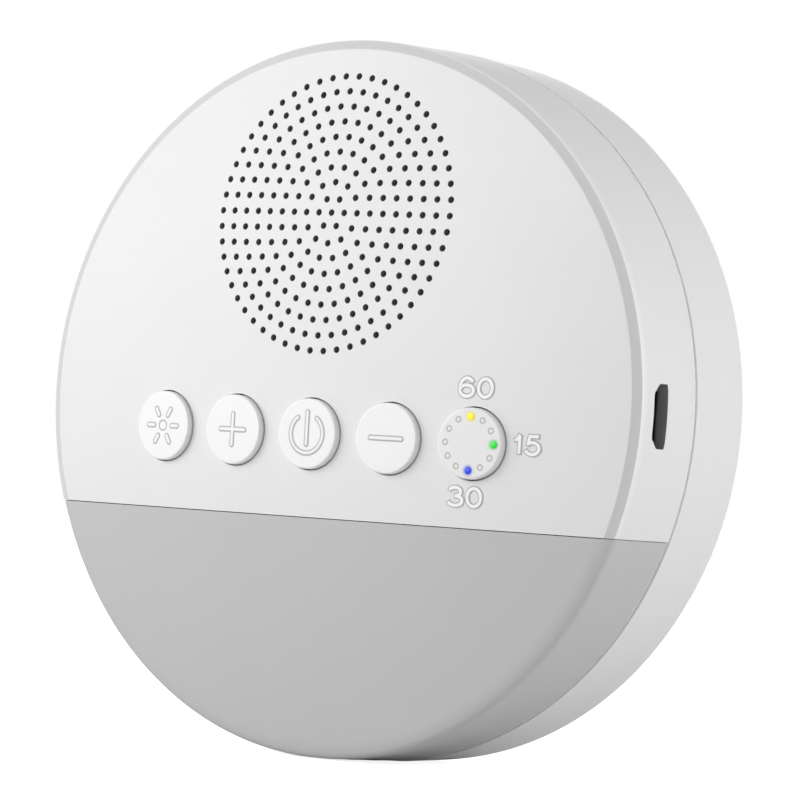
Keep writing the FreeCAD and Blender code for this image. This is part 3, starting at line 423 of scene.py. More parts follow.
class Skin:
    """One side of the case: a profile outside, one inside, and how far along them each ring of points lies.

    On the face that distance is the ring's radius. Beyond it, it grows by the length of the profile.
    """

    def __init__(self, profile, inner):
        self.radius, self.depth = profile[:, 0], profile[:, 1]
        steps = np.hypot(np.diff(self.radius), np.diff(self.depth))
        self.along = np.concatenate([[0], np.cumsum(steps)])
        last = np.nonzero(self.radius < EDGE_START)[0].max()
        self.along[last + 1:] += self.radius[last] - self.along[last]
        self.along[:last + 1] = self.radius[:last + 1]
        self.inner_radius, self.inner_depth = inner(self.radius, self.depth)

    def outside(self, along):
        return np.interp(along, self.along, self.radius), np.interp(along, self.along, self.depth)

    def inside(self, along):
        return np.interp(along, self.along, self.inner_radius), np.interp(along, self.along, self.inner_depth)

    def along_at_depth(self, depth):
        order = np.argsort(self.depth)
        return np.interp(depth, self.depth[order], self.along[order])


def creep(count):
    """A slope of a fiftieth of a millimetre along the wall, so that no two rings of its inside coincide."""
    return 0.02 * np.arange(count) / count


def front_inner(radius, depth):
    """Inside of the front wall: the dome moved back, then the side moved in."""
    inner = np.minimum(radius, side_radius(depth) - SIDE_WALL)
    return inner, np.maximum(depth, dome_depth(inner, FACE_WALL) + creep(len(radius)))


def rear_inner(radius, depth):
    """Inside of the rear wall: the back moved forward, then the side moved in."""
    inner = np.minimum(radius, side_radius(depth) - SIDE_WALL)
    return inner, np.minimum(depth, CASE_DEPTH - BACK_WALL - creep(len(radius)))


FRONT = Skin(front_profile(CRISP_EDGES), front_inner)
COVER = Skin(front_profile(ROLLED_EDGES), front_inner)
REAR = Skin(rear_profile(), rear_inner)
print("front profile", len(FRONT.radius), "points, rear profile", len(REAR.radius))

# %% Loops and borders of a skin
TURN_STEPS, CHORD_STEPS = 240, 80


def circle(x, height, radius, count):
    """A closed loop of points round a hole in the face."""
    angle = np.linspace(0, 2 * np.pi, count, endpoint=False)
    return np.stack([x + radius * np.cos(angle), height + radius * np.sin(angle)], axis=-1)


def side_loop(skin, depths, angles):
    """A loop in the side wall, given by depth and turn, laid out flat."""
    along = skin.along_at_depth(np.asarray(depths, float))
    return np.stack([along * np.cos(angles), along * np.sin(angles)], axis=-1)


def chord_border(skin, level, upper):
    """The border of a skin cut at a height: each row of the side where it reaches it, and the chord."""
    rows = skin.radius > EDGE_START
    turn = np.arcsin(level / skin.radius[rows])
    along = skin.along[rows]
    reach = math.sqrt(CHORD_END**2 - level**2)
    chord = np.linspace(-reach, reach, CHORD_STEPS)
    left = np.stack([-along * np.cos(turn), along * np.sin(turn)], axis=-1)[::-1]
    right = np.stack([along * np.cos(turn), along * np.sin(turn)], axis=-1)
    middle = np.stack([chord, np.full(CHORD_STEPS, level)], axis=-1)
    start, stop = (turn[-1], np.pi - turn[-1]) if upper else (turn[-1], -np.pi - turn[-1])
    arc = np.linspace(start, stop, TURN_STEPS // 2 + 1)[1:-1]
    outer = along[-1] * np.stack([np.cos(arc), np.sin(arc)], axis=-1)
    return np.concatenate([left, middle, right, outer])


def full_border(skin):
    """The border of a whole skin: a circle at the end of its profile."""
    angle = np.linspace(0, 2 * np.pi, TURN_STEPS, endpoint=False)
    return skin.along[-1] * np.stack([np.cos(angle), np.sin(angle)], axis=-1)


def inside_loop(points, loop):
    """Which points lie inside a loop, by counting the loop's edges that a ray to the right crosses."""
    x, y = points[:, 0][:, None], points[:, 1][:, None]
    ax, ay = loop[:, 0][None], loop[:, 1][None]
    bx, by = np.roll(loop[:, 0], -1)[None], np.roll(loop[:, 1], -1)[None]
    rise = np.where(by == ay, 1e-12, by - ay)
    crossing = ((ay > y) != (by > y)) & (x < (bx - ax) * (y - ay) / rise + ax)
    return crossing.sum(axis=1) % 2 == 1


def distance_to_loop(points, loop):
    """Distance to a loop's nearest edge: from a point to its foot on the edge, kept between the ends."""
    edge = np.roll(loop, -1, axis=0) - loop
    length = np.clip(np.linalg.norm(edge, axis=1), 1e-9, None)
    to = points[:, None] - loop[None]
    share = np.clip((to * edge[None]).sum(-1) / length**2, 0, 1)
    return np.linalg.norm(to - share[..., None] * edge[None], axis=-1).min(axis=1)


print("border of the face has", len(chord_border(FRONT, LAMP_TOP, True)), "points")

# %% Filling and lifting a skin
FACE_SPACING, FACE_CLEARANCE, SIDE_CLEARANCE, BOX_MARGIN = 2.4, 0.28, 0.06, 0.3


def fill_points(skin, border, holes):
    """Points between the loops: rings across the face, then rows of the bevel and side from EDGE_START on."""
    rings = []
    for along in np.arange(FACE_SPACING, FILL_END, FACE_SPACING):
        rings.append(circle(0.0, 0.0, along, int(2 * np.pi * along / FACE_SPACING)))
    for along in skin.along[skin.radius > EDGE_START][:-1]:
        rings.append(circle(0.0, 0.0, along, TURN_STEPS))
    points = np.concatenate(rings)
    points = points[inside_loop(points, border)]
    for loop in [border] + holes:
        low, high = loop.min(axis=0) - BOX_MARGIN, loop.max(axis=0) + BOX_MARGIN
        near = np.nonzero(((points > low) & (points < high)).all(axis=1))[0]
        close = points[near]
        on_face = np.hypot(close[:, 0], close[:, 1]) < EDGE_START
        drop = distance_to_loop(close, loop) <= np.where(on_face, FACE_CLEARANCE, SIDE_CLEARANCE)
        if loop is not border:
            drop |= inside_loop(close, loop)
        points = np.delete(points, near[drop], axis=0)
    return points


def triangulated(skin, border, holes):
    """Flat places of the points, and the triangles between the loops, all turning the same way."""
    loops = [border] + holes
    flat = np.concatenate(loops + [fill_points(skin, border, holes)])
    edges = []
    start = 0
    for loop in loops:
        index = np.arange(start, start + len(loop))
        edges += np.stack([index, np.roll(index, -1)], axis=-1).tolist()
        start += len(loop)
    result = delaunay_2d_cdt([Vector(p) for p in flat.tolist()], edges, [], 0, 1e-7)
    places = np.array([tuple(v) for v in result[0]])
    triangles = np.array([f for f in result[2] if len(f) == 3])
    middle = places[triangles].mean(axis=1)
    keep = inside_loop(middle, border)
    for loop in holes:
        low, high = loop.min(axis=0), loop.max(axis=0)
        near = np.nonzero(((middle > low) & (middle < high)).all(axis=1))[0]
        keep[near[inside_loop(middle[near], loop)]] = False
    triangles = triangles[keep]
    a, b, c = (places[triangles[:, i]] for i in range(3))
    turn = (b[:, 0] - a[:, 0]) * (c[:, 1] - a[:, 1]) - (b[:, 1] - a[:, 1]) * (c[:, 0] - a[:, 0])
    triangles[turn < 0] = triangles[turn < 0][:, ::-1]
    return places, triangles


def lifted(skin, border, holes, front=True):
    """The triangles lifted to the outside and the inside of the wall, and closed along every free edge.

    Gives the points, the faces, how many triangles each side has, the wall's faces and the flat places.
    """
    places, triangles = triangulated(skin, border, holes)
    if not front:
        triangles = triangles[:, ::-1]
    along = np.hypot(places[:, 0], places[:, 1])
    angle = np.arctan2(places[:, 1], places[:, 0])
    points = np.concatenate([
        to_scene(radius * np.cos(angle), depth, radius * np.sin(angle))
        for radius, depth in (skin.outside(along), skin.inside(along))
    ])
    size = len(places)
    sides = np.concatenate([triangles[:, [0, 1]], triangles[:, [1, 2]], triangles[:, [2, 0]]])
    code = sides[:, 0] * size + sides[:, 1]
    free = sides[~np.isin(code, sides[:, 1] * size + sides[:, 0])]
    walls = np.stack([free[:, 1], free[:, 0], free[:, 0] + size, free[:, 1] + size], axis=-1)
    faces = triangles.tolist() + (triangles[:, ::-1] + size).tolist() + walls.tolist()
    return points, faces, len(triangles), walls, places


print("points across a front skin without holes:", len(fill_points(FRONT, full_border(FRONT), [])))

# %% [markdown]
# ## Front shell
# The grille is a ring pattern: ring number n has 6n holes, all rings 2.2 millimetres apart, which is how
# a drilled or moulded speaker grille is mostly laid out. The five buttons stand in a row in openings a
# little larger than their caps, and the charging port is an opening in the right side with two corners
# cut off. The walls of the small holes and of the port are painted darker, as painted shade, because
# hardly any light comes back out of them.

# %% Openings and front shell
GRILLE_HEIGHT, GRILLE_RINGS, RING_PITCH, HOLE_DIAMETER, HOLE_EDGES = 26.2, 9, 2.2, 0.98, 18
GRILLE_REACH = GRILLE_RINGS * RING_PITCH + 1.2
BUTTON_NAMES = ("light", "volume_up", "power", "volume_down", "timer")
BUTTON_RADIUS, BUTTON_SPACING, BUTTON_HEIGHT = 5.0, 13.4, -5.4
BUTTON_CLEARANCE, BUTTON_HOLE_EDGES = 0.2, 96
PORT_FRONT, PORT_BACK, PORT_HALF, PORT_CUT, PORT_ZONE = 8.55, 11.95, 4.5, 1.4, 8.0
BEVEL_SHADE_BLUR, HIGHLIGHT_SHIFT, HIGHLIGHT_WIDTH = 0.1, 0.05, 0.2


def grille_loops():
    """One hole in the middle, then rings of 6, 12, 18 and so on."""
    loops = [circle(0.0, GRILLE_HEIGHT, HOLE_DIAMETER / 2, HOLE_EDGES)]
    for number in range(1, GRILLE_RINGS + 1):
        for x, height in circle(0.0, 0.0, number * RING_PITCH, 6 * number):
            loops.append(circle(x, GRILLE_HEIGHT + height, HOLE_DIAMETER / 2, HOLE_EDGES))
    return loops


def button_x(name):
    return (BUTTON_NAMES.index(name) - 2) * BUTTON_SPACING


def port_loop():
    """Outline of the port on the side: straight at the back, with its two front corners cut off."""
    corners = np.array([
        (PORT_BACK, -PORT_HALF), (PORT_BACK, PORT_HALF), (PORT_FRONT + PORT_CUT, PORT_HALF),
        (PORT_FRONT, PORT_HALF - PORT_CUT), (PORT_FRONT, PORT_CUT - PORT_HALF),
        (PORT_FRONT + PORT_CUT, -PORT_HALF), (PORT_BACK, -PORT_HALF),
    ])
    share = np.linspace(0.08, 0.92, 8)[:, None]
    outline = np.concatenate([first + (last - first) * share for first, last in zip(corners, corners[1:])])
    depth, height = outline[:, 0], outline[:, 1]
    return side_loop(FRONT, depth, np.arcsin(height / side_radius(depth)))


grille = grille_loops()
button_holes = [
    circle(button_x(name), BUTTON_HEIGHT, BUTTON_RADIUS + BUTTON_CLEARANCE, BUTTON_HOLE_EDGES)
    for name in BUTTON_NAMES
]
points, faces, skin_count, walls, places = lifted(
    FRONT, chord_border(FRONT, LAMP_TOP, True), grille + button_holes + [port_loop()]
)
start_x, start_height = places[walls[:, 0]].T
in_grille = np.hypot(start_x, start_height - GRILLE_HEIGHT) < GRILLE_REACH
in_port = (start_x > FACE_RADIUS) & (np.abs(start_height) < PORT_ZONE)
in_port &= np.hypot(start_x, start_height) < FRONT.along[-1] - 1.0
# Walls in the grille and in the port take the painted shade materials.
materials_of_walls = np.where(in_grille, 1, np.where(in_port, 2, 0))
materials_of_faces = np.concatenate([np.zeros(2 * skin_count), materials_of_walls])
front_shell = make_piece("front_case", points, faces, [WHITE, HOLE_SHADE, PORT_SHADE],
                         materials_of_faces=materials_of_faces)
along = np.tile(np.hypot(places[:, 0], places[:, 1]), 2)
bevel_start, bevel_end = FRONT.along_at_depth(FACE_DOME), FRONT.along_at_depth(RIM_DEPTH)
# Painted shade: 1 across the bevel, softened at its borders, kept as the rim attribute.
bevel_shade = np.minimum(along - bevel_start, bevel_end - along) / BEVEL_SHADE_BLUR + 0.5
# Painted highlight: 1 in a thin band just past the bevel's outer corner, kept as the edge attribute.
corner_highlight = 1.0 - np.abs(along - bevel_end - HIGHLIGHT_SHIFT) / HIGHLIGHT_WIDTH
paint(front_shell, "rim", np.clip(bevel_shade, 0, 1))
paint(front_shell, "edge", np.clip(corner_highlight, 0, 1))
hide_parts("front_shell")
print("front shell", len(faces), "faces with", len(grille), "grille holes")

# %% [markdown]
# ## Lamp cover and rear shell
# The lower segment is the lamp's cover, a grey, slightly frosted moulding whose edge is rolled over
# instead of bevelled. It meets the white part along a straight chord with a hair of a gap, which reads as
# a dark line. The rear shell is a plain round tray with a shadow groove at the seam and four deep screw
# recesses.

# %% Lamp cover and rear shell
points, faces, *_ = lifted(COVER, chord_border(COVER, LAMP_TOP - COVER_GAP, False), [])
lamp_cover = make_piece("lamp_segment", points, faces, LAMP_GREY)
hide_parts("lamp_cover")

SCREW_RING, SCREW_ANGLES, RECESS_RADIUS, RECESS_FLOOR = 43.5, (43.6, 136.4, 223.6, 316.4), 2.1, 24.0
SCREW_BORE, SLEEVE_RADIUS, SLEEVE_FLOOR, RECESS_EDGES = 1.2, 3.4, 2.0, 40
PAD_HALF, PAD_FRONT, PAD_BACK = 4.02, 20.48, 30.02


def screw_places():
    turn = np.radians(SCREW_ANGLES)
    return list(zip(SCREW_RING * np.cos(turn), SCREW_RING * np.sin(turn)))


def pad_loop(across_steps=9, down_steps=11):
    """Rectangle in the base, laid out flat: its long sides keep one distance from the middle plane."""
    across = np.linspace(-PAD_HALF, PAD_HALF, across_steps)
    down = np.linspace(PAD_FRONT, PAD_BACK, down_steps)[1:-1]
    along_edge, down_edge = np.ones(across_steps), np.ones(down_steps - 2)
    x = np.concatenate([across, PAD_HALF * down_edge, across[::-1], -PAD_HALF * down_edge])
    depth = np.concatenate([PAD_FRONT * along_edge, down, PAD_BACK * along_edge, down[::-1]])
    return side_loop(REAR, depth, -np.arccos(x / side_radius(depth)))


recesses = [circle(x, height, RECESS_RADIUS, RECESS_EDGES) for x, height in screw_places()]
points, faces, *_ = lifted(REAR, full_border(REAR), recesses + [pad_loop()], front=False)
rear_shell = make_piece("rear_case", points, faces, WHITE)
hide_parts("rear_shell")

sleeve = [
    (RECESS_RADIUS, CASE_DEPTH - 0.4), (RECESS_RADIUS, RECESS_FLOOR), (SCREW_BORE, RECESS_FLOOR),
    (SCREW_BORE, RECESS_FLOOR - SLEEVE_FLOOR), (SLEEVE_RADIUS, RECESS_FLOOR - SLEEVE_FLOOR),
    (SLEEVE_RADIUS, CASE_DEPTH - 1.0),
]
for number, (x, height) in enumerate(screw_places()):
    points, faces = turned(sleeve, x, height, RECESS_EDGES)
    make_piece("screw_sleeve_%d" % number, points, faces[:, ::-1], WHITE)
print("rear shell and", len(SCREW_ANGLES), "screw sleeves")

# %% [markdown]
# ## Buttons
# Each cap follows the dome of the face one millimetre above it, with a rounded edge. Its sign is moulded
# on: thin raised bars with a grey line round them. Every sign is a signed distance, negative inside the
# bars, worked out for all points of the cap at once. Near zero it draws the line, and below zero it
# raises the surface.

# %% Signs as distances
BAR_HALF, RAY_HALF, ARC_HALF, RING_HALF = 0.32, 0.33, 0.3, 0.005
SUN_RING, RAY_START, RAY_END, RAY_ANGLE = 0.72, 1.74, 2.74, 60
MINUS_REACH, PLUS_REACH = 2.54, 2.18
POWER_RING, POWER_OPENING, POWER_BAR = 2.76, math.radians(36), (-1.5, 3.05)
MARK_COUNT, MARK_CIRCLE, MARK_RADIUS = 12, 3.76, 0.37
LENSES = {"yellow": 0, "green": 3, "blue": 6}


def bar(u, v, first, last, half=BAR_HALF):
    """Distance to a bar with round ends: the distance to its middle line, less its half width."""
    ax, ay = first
    dx, dy = last[0] - ax, last[1] - ay
    share = np.clip(((u - ax) * dx + (v - ay) * dy) / (dx * dx + dy * dy), 0, 1)
    return np.hypot(u - ax - share * dx, v - ay - share * dy) - half


def ring(u, v, radius):
    """Distance to a thin ring: how far the point's own distance from the middle is from the radius."""
    return np.abs(np.hypot(u, v) - radius) - RING_HALF


def sun_sign(u, v):
    """A ring with six rays."""
    distance = ring(u, v, SUN_RING)
    for turn in np.radians(np.arange(0, 360, RAY_ANGLE)):
        way = np.array([np.cos(turn), np.sin(turn)])
        distance = np.minimum(distance, bar(u, v, RAY_START * way, RAY_END * way, RAY_HALF))
    return distance


def minus_sign(u, v):
    return bar(u, v, (-MINUS_REACH, 0.0), (MINUS_REACH, 0.0))


def plus_sign(u, v):
    level = bar(u, v, (-PLUS_REACH, 0.0), (PLUS_REACH, 0.0))
    return np.minimum(level, bar(u, v, (0.0, -PLUS_REACH), (0.0, PLUS_REACH)))


def power_sign(u, v):
    """A ring, open at the top, with a bar in the opening."""
    end_u, end_v = POWER_RING * math.sin(POWER_OPENING), POWER_RING * math.cos(POWER_OPENING)
    from_arc = np.abs(np.hypot(u, v) - POWER_RING)
    from_end = np.hypot(np.abs(u) - end_u, v - end_v)
    open_ring = np.where(np.abs(np.arctan2(u, v)) > POWER_OPENING, from_arc, from_end) - ARC_HALF
    return np.minimum(open_ring, bar(u, v, (0.0, POWER_BAR[0]), (0.0, POWER_BAR[1])))


def mark_place(number):
    """Place of a mark on the timer, counted as the hours of a clock."""
    turn = math.radians(90 - 360 * number / MARK_COUNT)
    return MARK_CIRCLE * math.cos(turn), MARK_CIRCLE * math.sin(turn)


def timer_sign(u, v):
    """Nine small rings on a circle. The other three places hold lights."""
    places = [mark_place(number) for number in range(MARK_COUNT) if number not in LENSES.values()]
    return np.min([ring(u - x, v - height, MARK_RADIUS) for x, height in places], axis=0)


SIGNS = {"light": sun_sign, "volume_up": plus_sign, "power": power_sign, "volume_down": minus_sign,
         "timer": timer_sign}
print("signs:", ", ".join(SIGNS))

# %% [markdown]
# The timer button also has three small lights, yellow at the top, green at the right and blue at the
# bottom. Their glow spreads a little into the white plastic, so its material mixes the three colours in
# by distance.

# %% Button caps
LIGHT_COLOURS = {"yellow": linear(246, 224, 20), "green": linear(10, 205, 40), "blue": linear(8, 62, 212)}
TIMER_WHITE, TIMER_LINE = linear(242, 241, 241), linear(186, 184, 184)
HALOS = {"halo_" + colour: tint for colour, tint in LIGHT_COLOURS.items()}
TIMER_KEY = plastic("timer_key_plastic", TIMER_WHITE, tuple(c * 0.97 for c in TIMER_WHITE), 0.42,
                    {"line": TIMER_LINE, **HALOS})
PIN, SIGN_ZONE, SIGN_STEPS, CAP_TURNS = 0.02, 4.6, 52, 264
CAP_ROUNDING, SKIRT_DROP, FLAT_DROP = 0.28, 1.2, 2.0
FLANGE_RADIUS, FLANGE_FRONT, FLANGE_BACK = 6.0, 3.15, 3.9
SIGN_RAMP, SIGN_RISE, LINE_HALF, LINE_BLUR = 0.18, 0.06, 0.14, 0.08
HALO_STRENGTH, HALO_START, HALO_WIDTH = 0.6, 0.5, 0.28


def key_profile():
    """Radius and height behind the crown of the cap: crown, rounded edge, side, flange and flat back."""
    rim = BUTTON_RADIUS - CAP_ROUNDING
    crown = np.concatenate([np.linspace(PIN, SIGN_ZONE, SIGN_STEPS), [rim - 0.06, rim]])
    quarter = np.linspace(0, np.pi / 2, 7)[1:]
    behind = [
        (BUTTON_RADIUS, SKIRT_DROP), (BUTTON_RADIUS, FLANGE_FRONT), (FLANGE_RADIUS, FLANGE_FRONT),
        (FLANGE_RADIUS, FLANGE_BACK), (FLANGE_RADIUS / 2, FLANGE_BACK), (PIN, FLANGE_BACK),
    ]
    radius = np.concatenate([crown, rim + CAP_ROUNDING * np.sin(quarter), [r for r, _ in behind]])
    edge_drop = CAP_ROUNDING - CAP_ROUNDING * np.cos(quarter)
    return radius, np.concatenate([np.zeros(len(crown)), edge_drop, [drop for _, drop in behind]])


def key_cap(name):
    """A grid of profile points by turns. Its depth is the dome's, less the sign's rise, and flat behind."""
    radius, drop = key_profile()
    angle = np.linspace(0, 2 * np.pi, CAP_TURNS, endpoint=False)
    u, v = radius[:, None] * np.cos(angle), radius[:, None] * np.sin(angle)
    drop = drop[:, None]
    x, height = u + button_x(name), v + BUTTON_HEIGHT
    distance = SIGNS[name](u, v)
    top = drop == 0
    share = np.clip(0.5 - distance / SIGN_RAMP, 0, 1)
    rise = 0.0 if name == "timer" else SIGN_RISE
    raised = np.where(top, (3 * share**2 - 2 * share**3) * rise, 0.0)
    stroke = np.where(top, np.clip((LINE_HALF - np.abs(distance)) / LINE_BLUR, 0, 1), 0.0)
    crown_depth = dome_depth(np.hypot(x, height)) - BUTTON_PROUD + drop - raised
    flat_depth = dome_depth(math.hypot(button_x(name), BUTTON_HEIGHT)) - BUTTON_PROUD + drop
    points = to_scene(x, np.where(drop > FLAT_DROP, flat_depth, crown_depth), height).reshape(-1, 3)
    rows = len(radius)
    faces = grid_faces(rows, CAP_TURNS).tolist()
    ends = [list(range(CAP_TURNS))[::-1], [(rows - 1) * CAP_TURNS + i for i in range(CAP_TURNS)]]
    material = TIMER_KEY if name == "timer" else WHITE_KEYS
    piece = make_piece(name + "_cap", points, faces + ends, material, name + "_key")
    paint(piece, "line", stroke.ravel())
    if name == "timer":
        for colour, number in LENSES.items():
            mark_x, mark_height = mark_place(number)
            away = np.maximum(np.hypot(u - mark_x, v - mark_height) - HALO_START, 0)
            halo = np.where(top, HALO_STRENGTH * np.exp(-np.square(away / HALO_WIDTH)), 0.0)
            paint(piece, "halo_" + colour, halo.ravel())
    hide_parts(name + "_button")
    return piece


for name in BUTTON_NAMES:
    cap = key_cap(name)
print("each cap has", len(cap.data.polygons), "faces")

# %% [markdown]
# ## Lights
# The lights are little domes of coloured plastic over lamps. A real one glows from inside, so its
# material gives off a little light of its own colour, and the halo on the cap round it is painted by
# distance.

# %% Timer lights
LENS_RADIUS, LENS_RISE, LENS_DEPTH, LENS_GLOW = 0.54, 0.12, 1.2, 0.25


def light_material(name, colour):
    """A coloured gloss plastic that gives off a little of its own colour."""
    shader = Shader(name)
    paler = tuple(min(1.0, c * 1.15 + 0.02) for c in colour)
    tone = shader.mix(shader.noise(2000.0, 2.0), colour, paler)
    shader.set(Base_Color=tone, Emission_Color=tone, Emission_Strength=LENS_GLOW, Roughness=0.25)
    return shader.material


def light_dome(colour):
    """A shallow dome on a short cylinder, turned about the light's own axis."""
    mark_x, mark_height = mark_place(LENSES[colour])
    x, height = mark_x + button_x("timer"), mark_height + BUTTON_HEIGHT
    front = float(dome_depth(math.hypot(x, height))) - BUTTON_PROUD
    rise = np.linspace(0, np.pi / 2, 8)
    dome = np.stack([PIN + (LENS_RADIUS - PIN) * np.sin(rise), front - LENS_RISE * np.cos(rise)], axis=-1)
    back = [[LENS_RADIUS, front + LENS_DEPTH], [PIN, front + LENS_DEPTH]]
    points, faces = turned(np.concatenate([dome, back]), x, height, 32)
    material = light_material("light_" + colour, LIGHT_COLOURS[colour])
    piece = make_piece("light_dome_" + colour, points, faces, material, "timer_key")
    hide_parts("timer_lens_" + colour)


for colour in LENSES:
    light_dome(colour)
print(len(LENSES), "lights")

# %% [markdown]
# ## Printed numbers
# The numbers beside the timer button give its steps in minutes. Each is white with a grey edge, and the
# grey edge is painted shade along the edges of the numbers. They could be text objects, but a digit drawn
# as a few strokes has an even width and lies on the dome. So each stroke is a line of arcs and straights
# in a box of one by one, and a thin flat bar is carried along it. The same strokes are made twice, the
# grey ones wider and a little lower than the white ones.

# %% Printed numbers
FACE_STROKE, EDGE_STROKE, FACE_LIFT, EDGE_LIFT = 0.22, 0.38, 0.09, 0.05
PRINT_SINK, STROKE_STEP, SHARPEST = 0.02, 0.004, 0.6
ARC_ANGLE = 9
NUMBERS = {
    "60": (23.87, 29.63, 0.75, 4.05),
    "15": (32.87, 37.33, -6.78, -3.53),
    "30": (23.03, 28.8, -14.48, -11.21),
}
WIDE_DIGITS, SLIM_ONE = ((0.0, 0.5), (0.5, 1.0)), ((0.0, 0.37), (0.39, 1.0))


def arc(x, y, width, height, first, last):
    """Points of an ellipse between two angles: the middle plus the radii times cosine and sine."""
    angle = np.radians(np.linspace(first, last, 2 + int(abs(last - first) / ARC_ANGLE)))
    return np.stack([x + width * np.cos(angle), y + height * np.sin(angle)], axis=-1)


DIGITS = {
    "0": [arc(0.5, 0.5, 0.5, 0.5, 90, 450)],
    "1": [np.array([(0.0, 0.74), (0.35, 0.8), (0.62, 0.92), (0.8, 1.06)]),
          np.array([(0.8, 1.0), (0.8, 0.0)])],
    "3": [arc(0.46, 0.76, 0.43, 0.24, 160, -90), arc(0.48, 0.27, 0.52, 0.27, 90, -162)],
    "5": [np.array([(0.93, 1.0), (0.26, 1.0), (0.12, 0.5)]), arc(0.47, 0.33, 0.53, 0.33, 135, -160)],
    "6": [np.concatenate([arc(0.5, 0.5, 0.5, 0.5, 35, 180), arc(0.5, 0.31, 0.5, 0.31, 180, 525)])],
}


def stroke_line(line, half, extra):
    """Points to both sides of a line, square to the mean of the ways before and after each of its points."""
    closed = np.allclose(line[0], line[-1])
    line = line[:-1] if closed else line
    after = np.roll(line, -1, axis=0) - line
    before = np.roll(after, 1, axis=0)
    if not closed:
        before[0], after[-1] = after[0], before[-1]
    before, after = (way / np.linalg.norm(way, axis=1, keepdims=True) for way in (before, after))
    if not closed:
        line = np.concatenate([line[:1] - extra * after[:1], line[1:-1], line[-1:] + extra * before[-1:]])
    mean = (before + after) / np.linalg.norm(before + after, axis=1, keepdims=True)
    reach = half / np.clip((mean * after).sum(axis=1, keepdims=True), SHARPEST, None)
    side = np.stack([-mean[:, 1], mean[:, 0]], axis=-1) * reach
    return line + side, line - side, closed


def stroke_piece(line, half, extra, front):
    """A flat bar carried along a line on the face: four corners at each of its points, and end caps."""
    left, right, closed = stroke_line(line, half, extra)
    corners = np.stack([left, right, right, left], axis=1)
    x, height = corners[..., 0], corners[..., 1]
    depth = dome_depth(np.hypot(x, height)) + np.array([-front, -front, PRINT_SINK, PRINT_SINK])
    faces = grid_faces(len(left), 4).tolist()
    last = [4 * (len(left) - 1) + i for i in range(4)]
    if closed:
        faces += [[last[i], last[(i + 1) % 4], (i + 1) % 4, i] for i in range(4)]
    else:
        faces += [[3, 2, 1, 0], last]
    return to_scene(x, depth, height).reshape(-1, 3), faces


def number_piece(text, half, lift, material, part):
    """Every stroke of a printed number on the face, each a hair higher than the one before."""
    left, right, low, high = NUMBERS[text]
    points, faces, count = [], [], 0
    for digit, (first, last) in zip(text, SLIM_ONE if text[0] == "1" else WIDE_DIGITS):
        start = left + first * (right - left) + EDGE_STROKE
        width = left + last * (right - left) - EDGE_STROKE - start
        tall = high - low - 2 * EDGE_STROKE
        for line in DIGITS[digit]:
            place = np.array([start, low + EDGE_STROKE]) + line * np.array([width, tall])
            front = lift + STROKE_STEP * len(points)
            new_points, new_faces = stroke_piece(place, half, half - FACE_STROKE, front)
            faces += [[i + count for i in face] for face in new_faces]
            points.append(new_points)
            count += len(new_points)
    make_piece("number_%s_%s" % (text, part), np.concatenate(points), faces, material)


# The wider grey strokes carry the painted shade along the edges of the numbers.
for text in NUMBERS:
    number_piece(text, FACE_STROKE, FACE_LIFT, NUMBER_WHITE, "face")
    number_piece(text, EDGE_STROKE, EDGE_LIFT, NUMBER_EDGE_SHADE, "edge")
print(len(NUMBERS), "numbers")

# %% [markdown]
# ## Materials of the inner parts
# The inner parts keep the frame's own shapes. Each gets a material after its slot: metal, paper, foam,
# green board, ferrite. They are mostly hidden, but the cloth behind the grille and the charging socket
# show. A material is two close colours, a roughness, how metallic it is and the size of its grain. Slots
# without a finish here belong to nodes that a piece above replaces.

# %% Inner materials
GRAIN_BUMP, GRAIN_HEIGHT, ROUGHNESS_RANGE = 0.15, 0.0001, 0.2


def inner_material(name, colour, shade, roughness, metallic, scale):
    """One noise gives the mix of the two colours, the changes in roughness and the grain."""
    shader = Shader("inner_" + name)
    grain = shader.noise(scale, 2.0)
    shader.set(Base_Color=shader.mix(grain, colour, shade), Metallic=metallic,
               Roughness=grain * ROUGHNESS_RANGE + (roughness - ROUGHNESS_RANGE / 2))
    shader.bump(grain, GRAIN_BUMP, GRAIN_HEIGHT)
    return shader.material


FINISHES = {
    "white_shell": (linear(232, 231, 231), linear(226, 225, 225), 0.45, 0.0, 300.0),
    "black_fabric": (linear(70, 69, 69), linear(88, 87, 87), 0.9, 0.0, 2500.0),
    "black_foam": (linear(40, 40, 40), linear(55, 54, 54), 0.95, 0.0, 1500.0),
    "grey_silicone": (linear(140, 140, 140), linear(128, 128, 128), 0.6, 0.0, 200.0),
    "steel": (linear(150, 150, 152), linear(120, 120, 122), 0.35, 1.0, 900.0),
    "ferrite": (linear(62, 62, 64), linear(48, 48, 50), 0.6, 0.0, 700.0),
    "paper_cone": (linear(52, 51, 50), linear(66, 64, 62), 0.85, 0.0, 900.0),
    "coil_copper": (linear(190, 110, 70), linear(160, 88, 54), 0.4, 1.0, 1200.0),
    "board_green": (linear(34, 88, 58), linear(28, 74, 50), 0.5, 0.0, 150.0),
    "board_white": (linear(226, 226, 222), linear(212, 212, 208), 0.5, 0.0, 150.0),
    "black_plastic": (linear(42, 42, 43), linear(34, 34, 35), 0.5, 0.0, 500.0),
    "cream_plastic": (linear(226, 218, 198), linear(216, 208, 186), 0.5, 0.0, 400.0),
    "led_white": (linear(240, 236, 214), linear(228, 222, 190), 0.3, 0.0, 400.0),
    "cell_foil": (linear(176, 178, 182), linear(158, 160, 164), 0.3, 1.0, 250.0),
    "wire_red": (linear(176, 40, 36), linear(154, 34, 30), 0.45, 0.0, 300.0),
    "wire_black": (linear(38, 38, 38), linear(28, 28, 28), 0.45, 0.0, 300.0),
}
made = {}
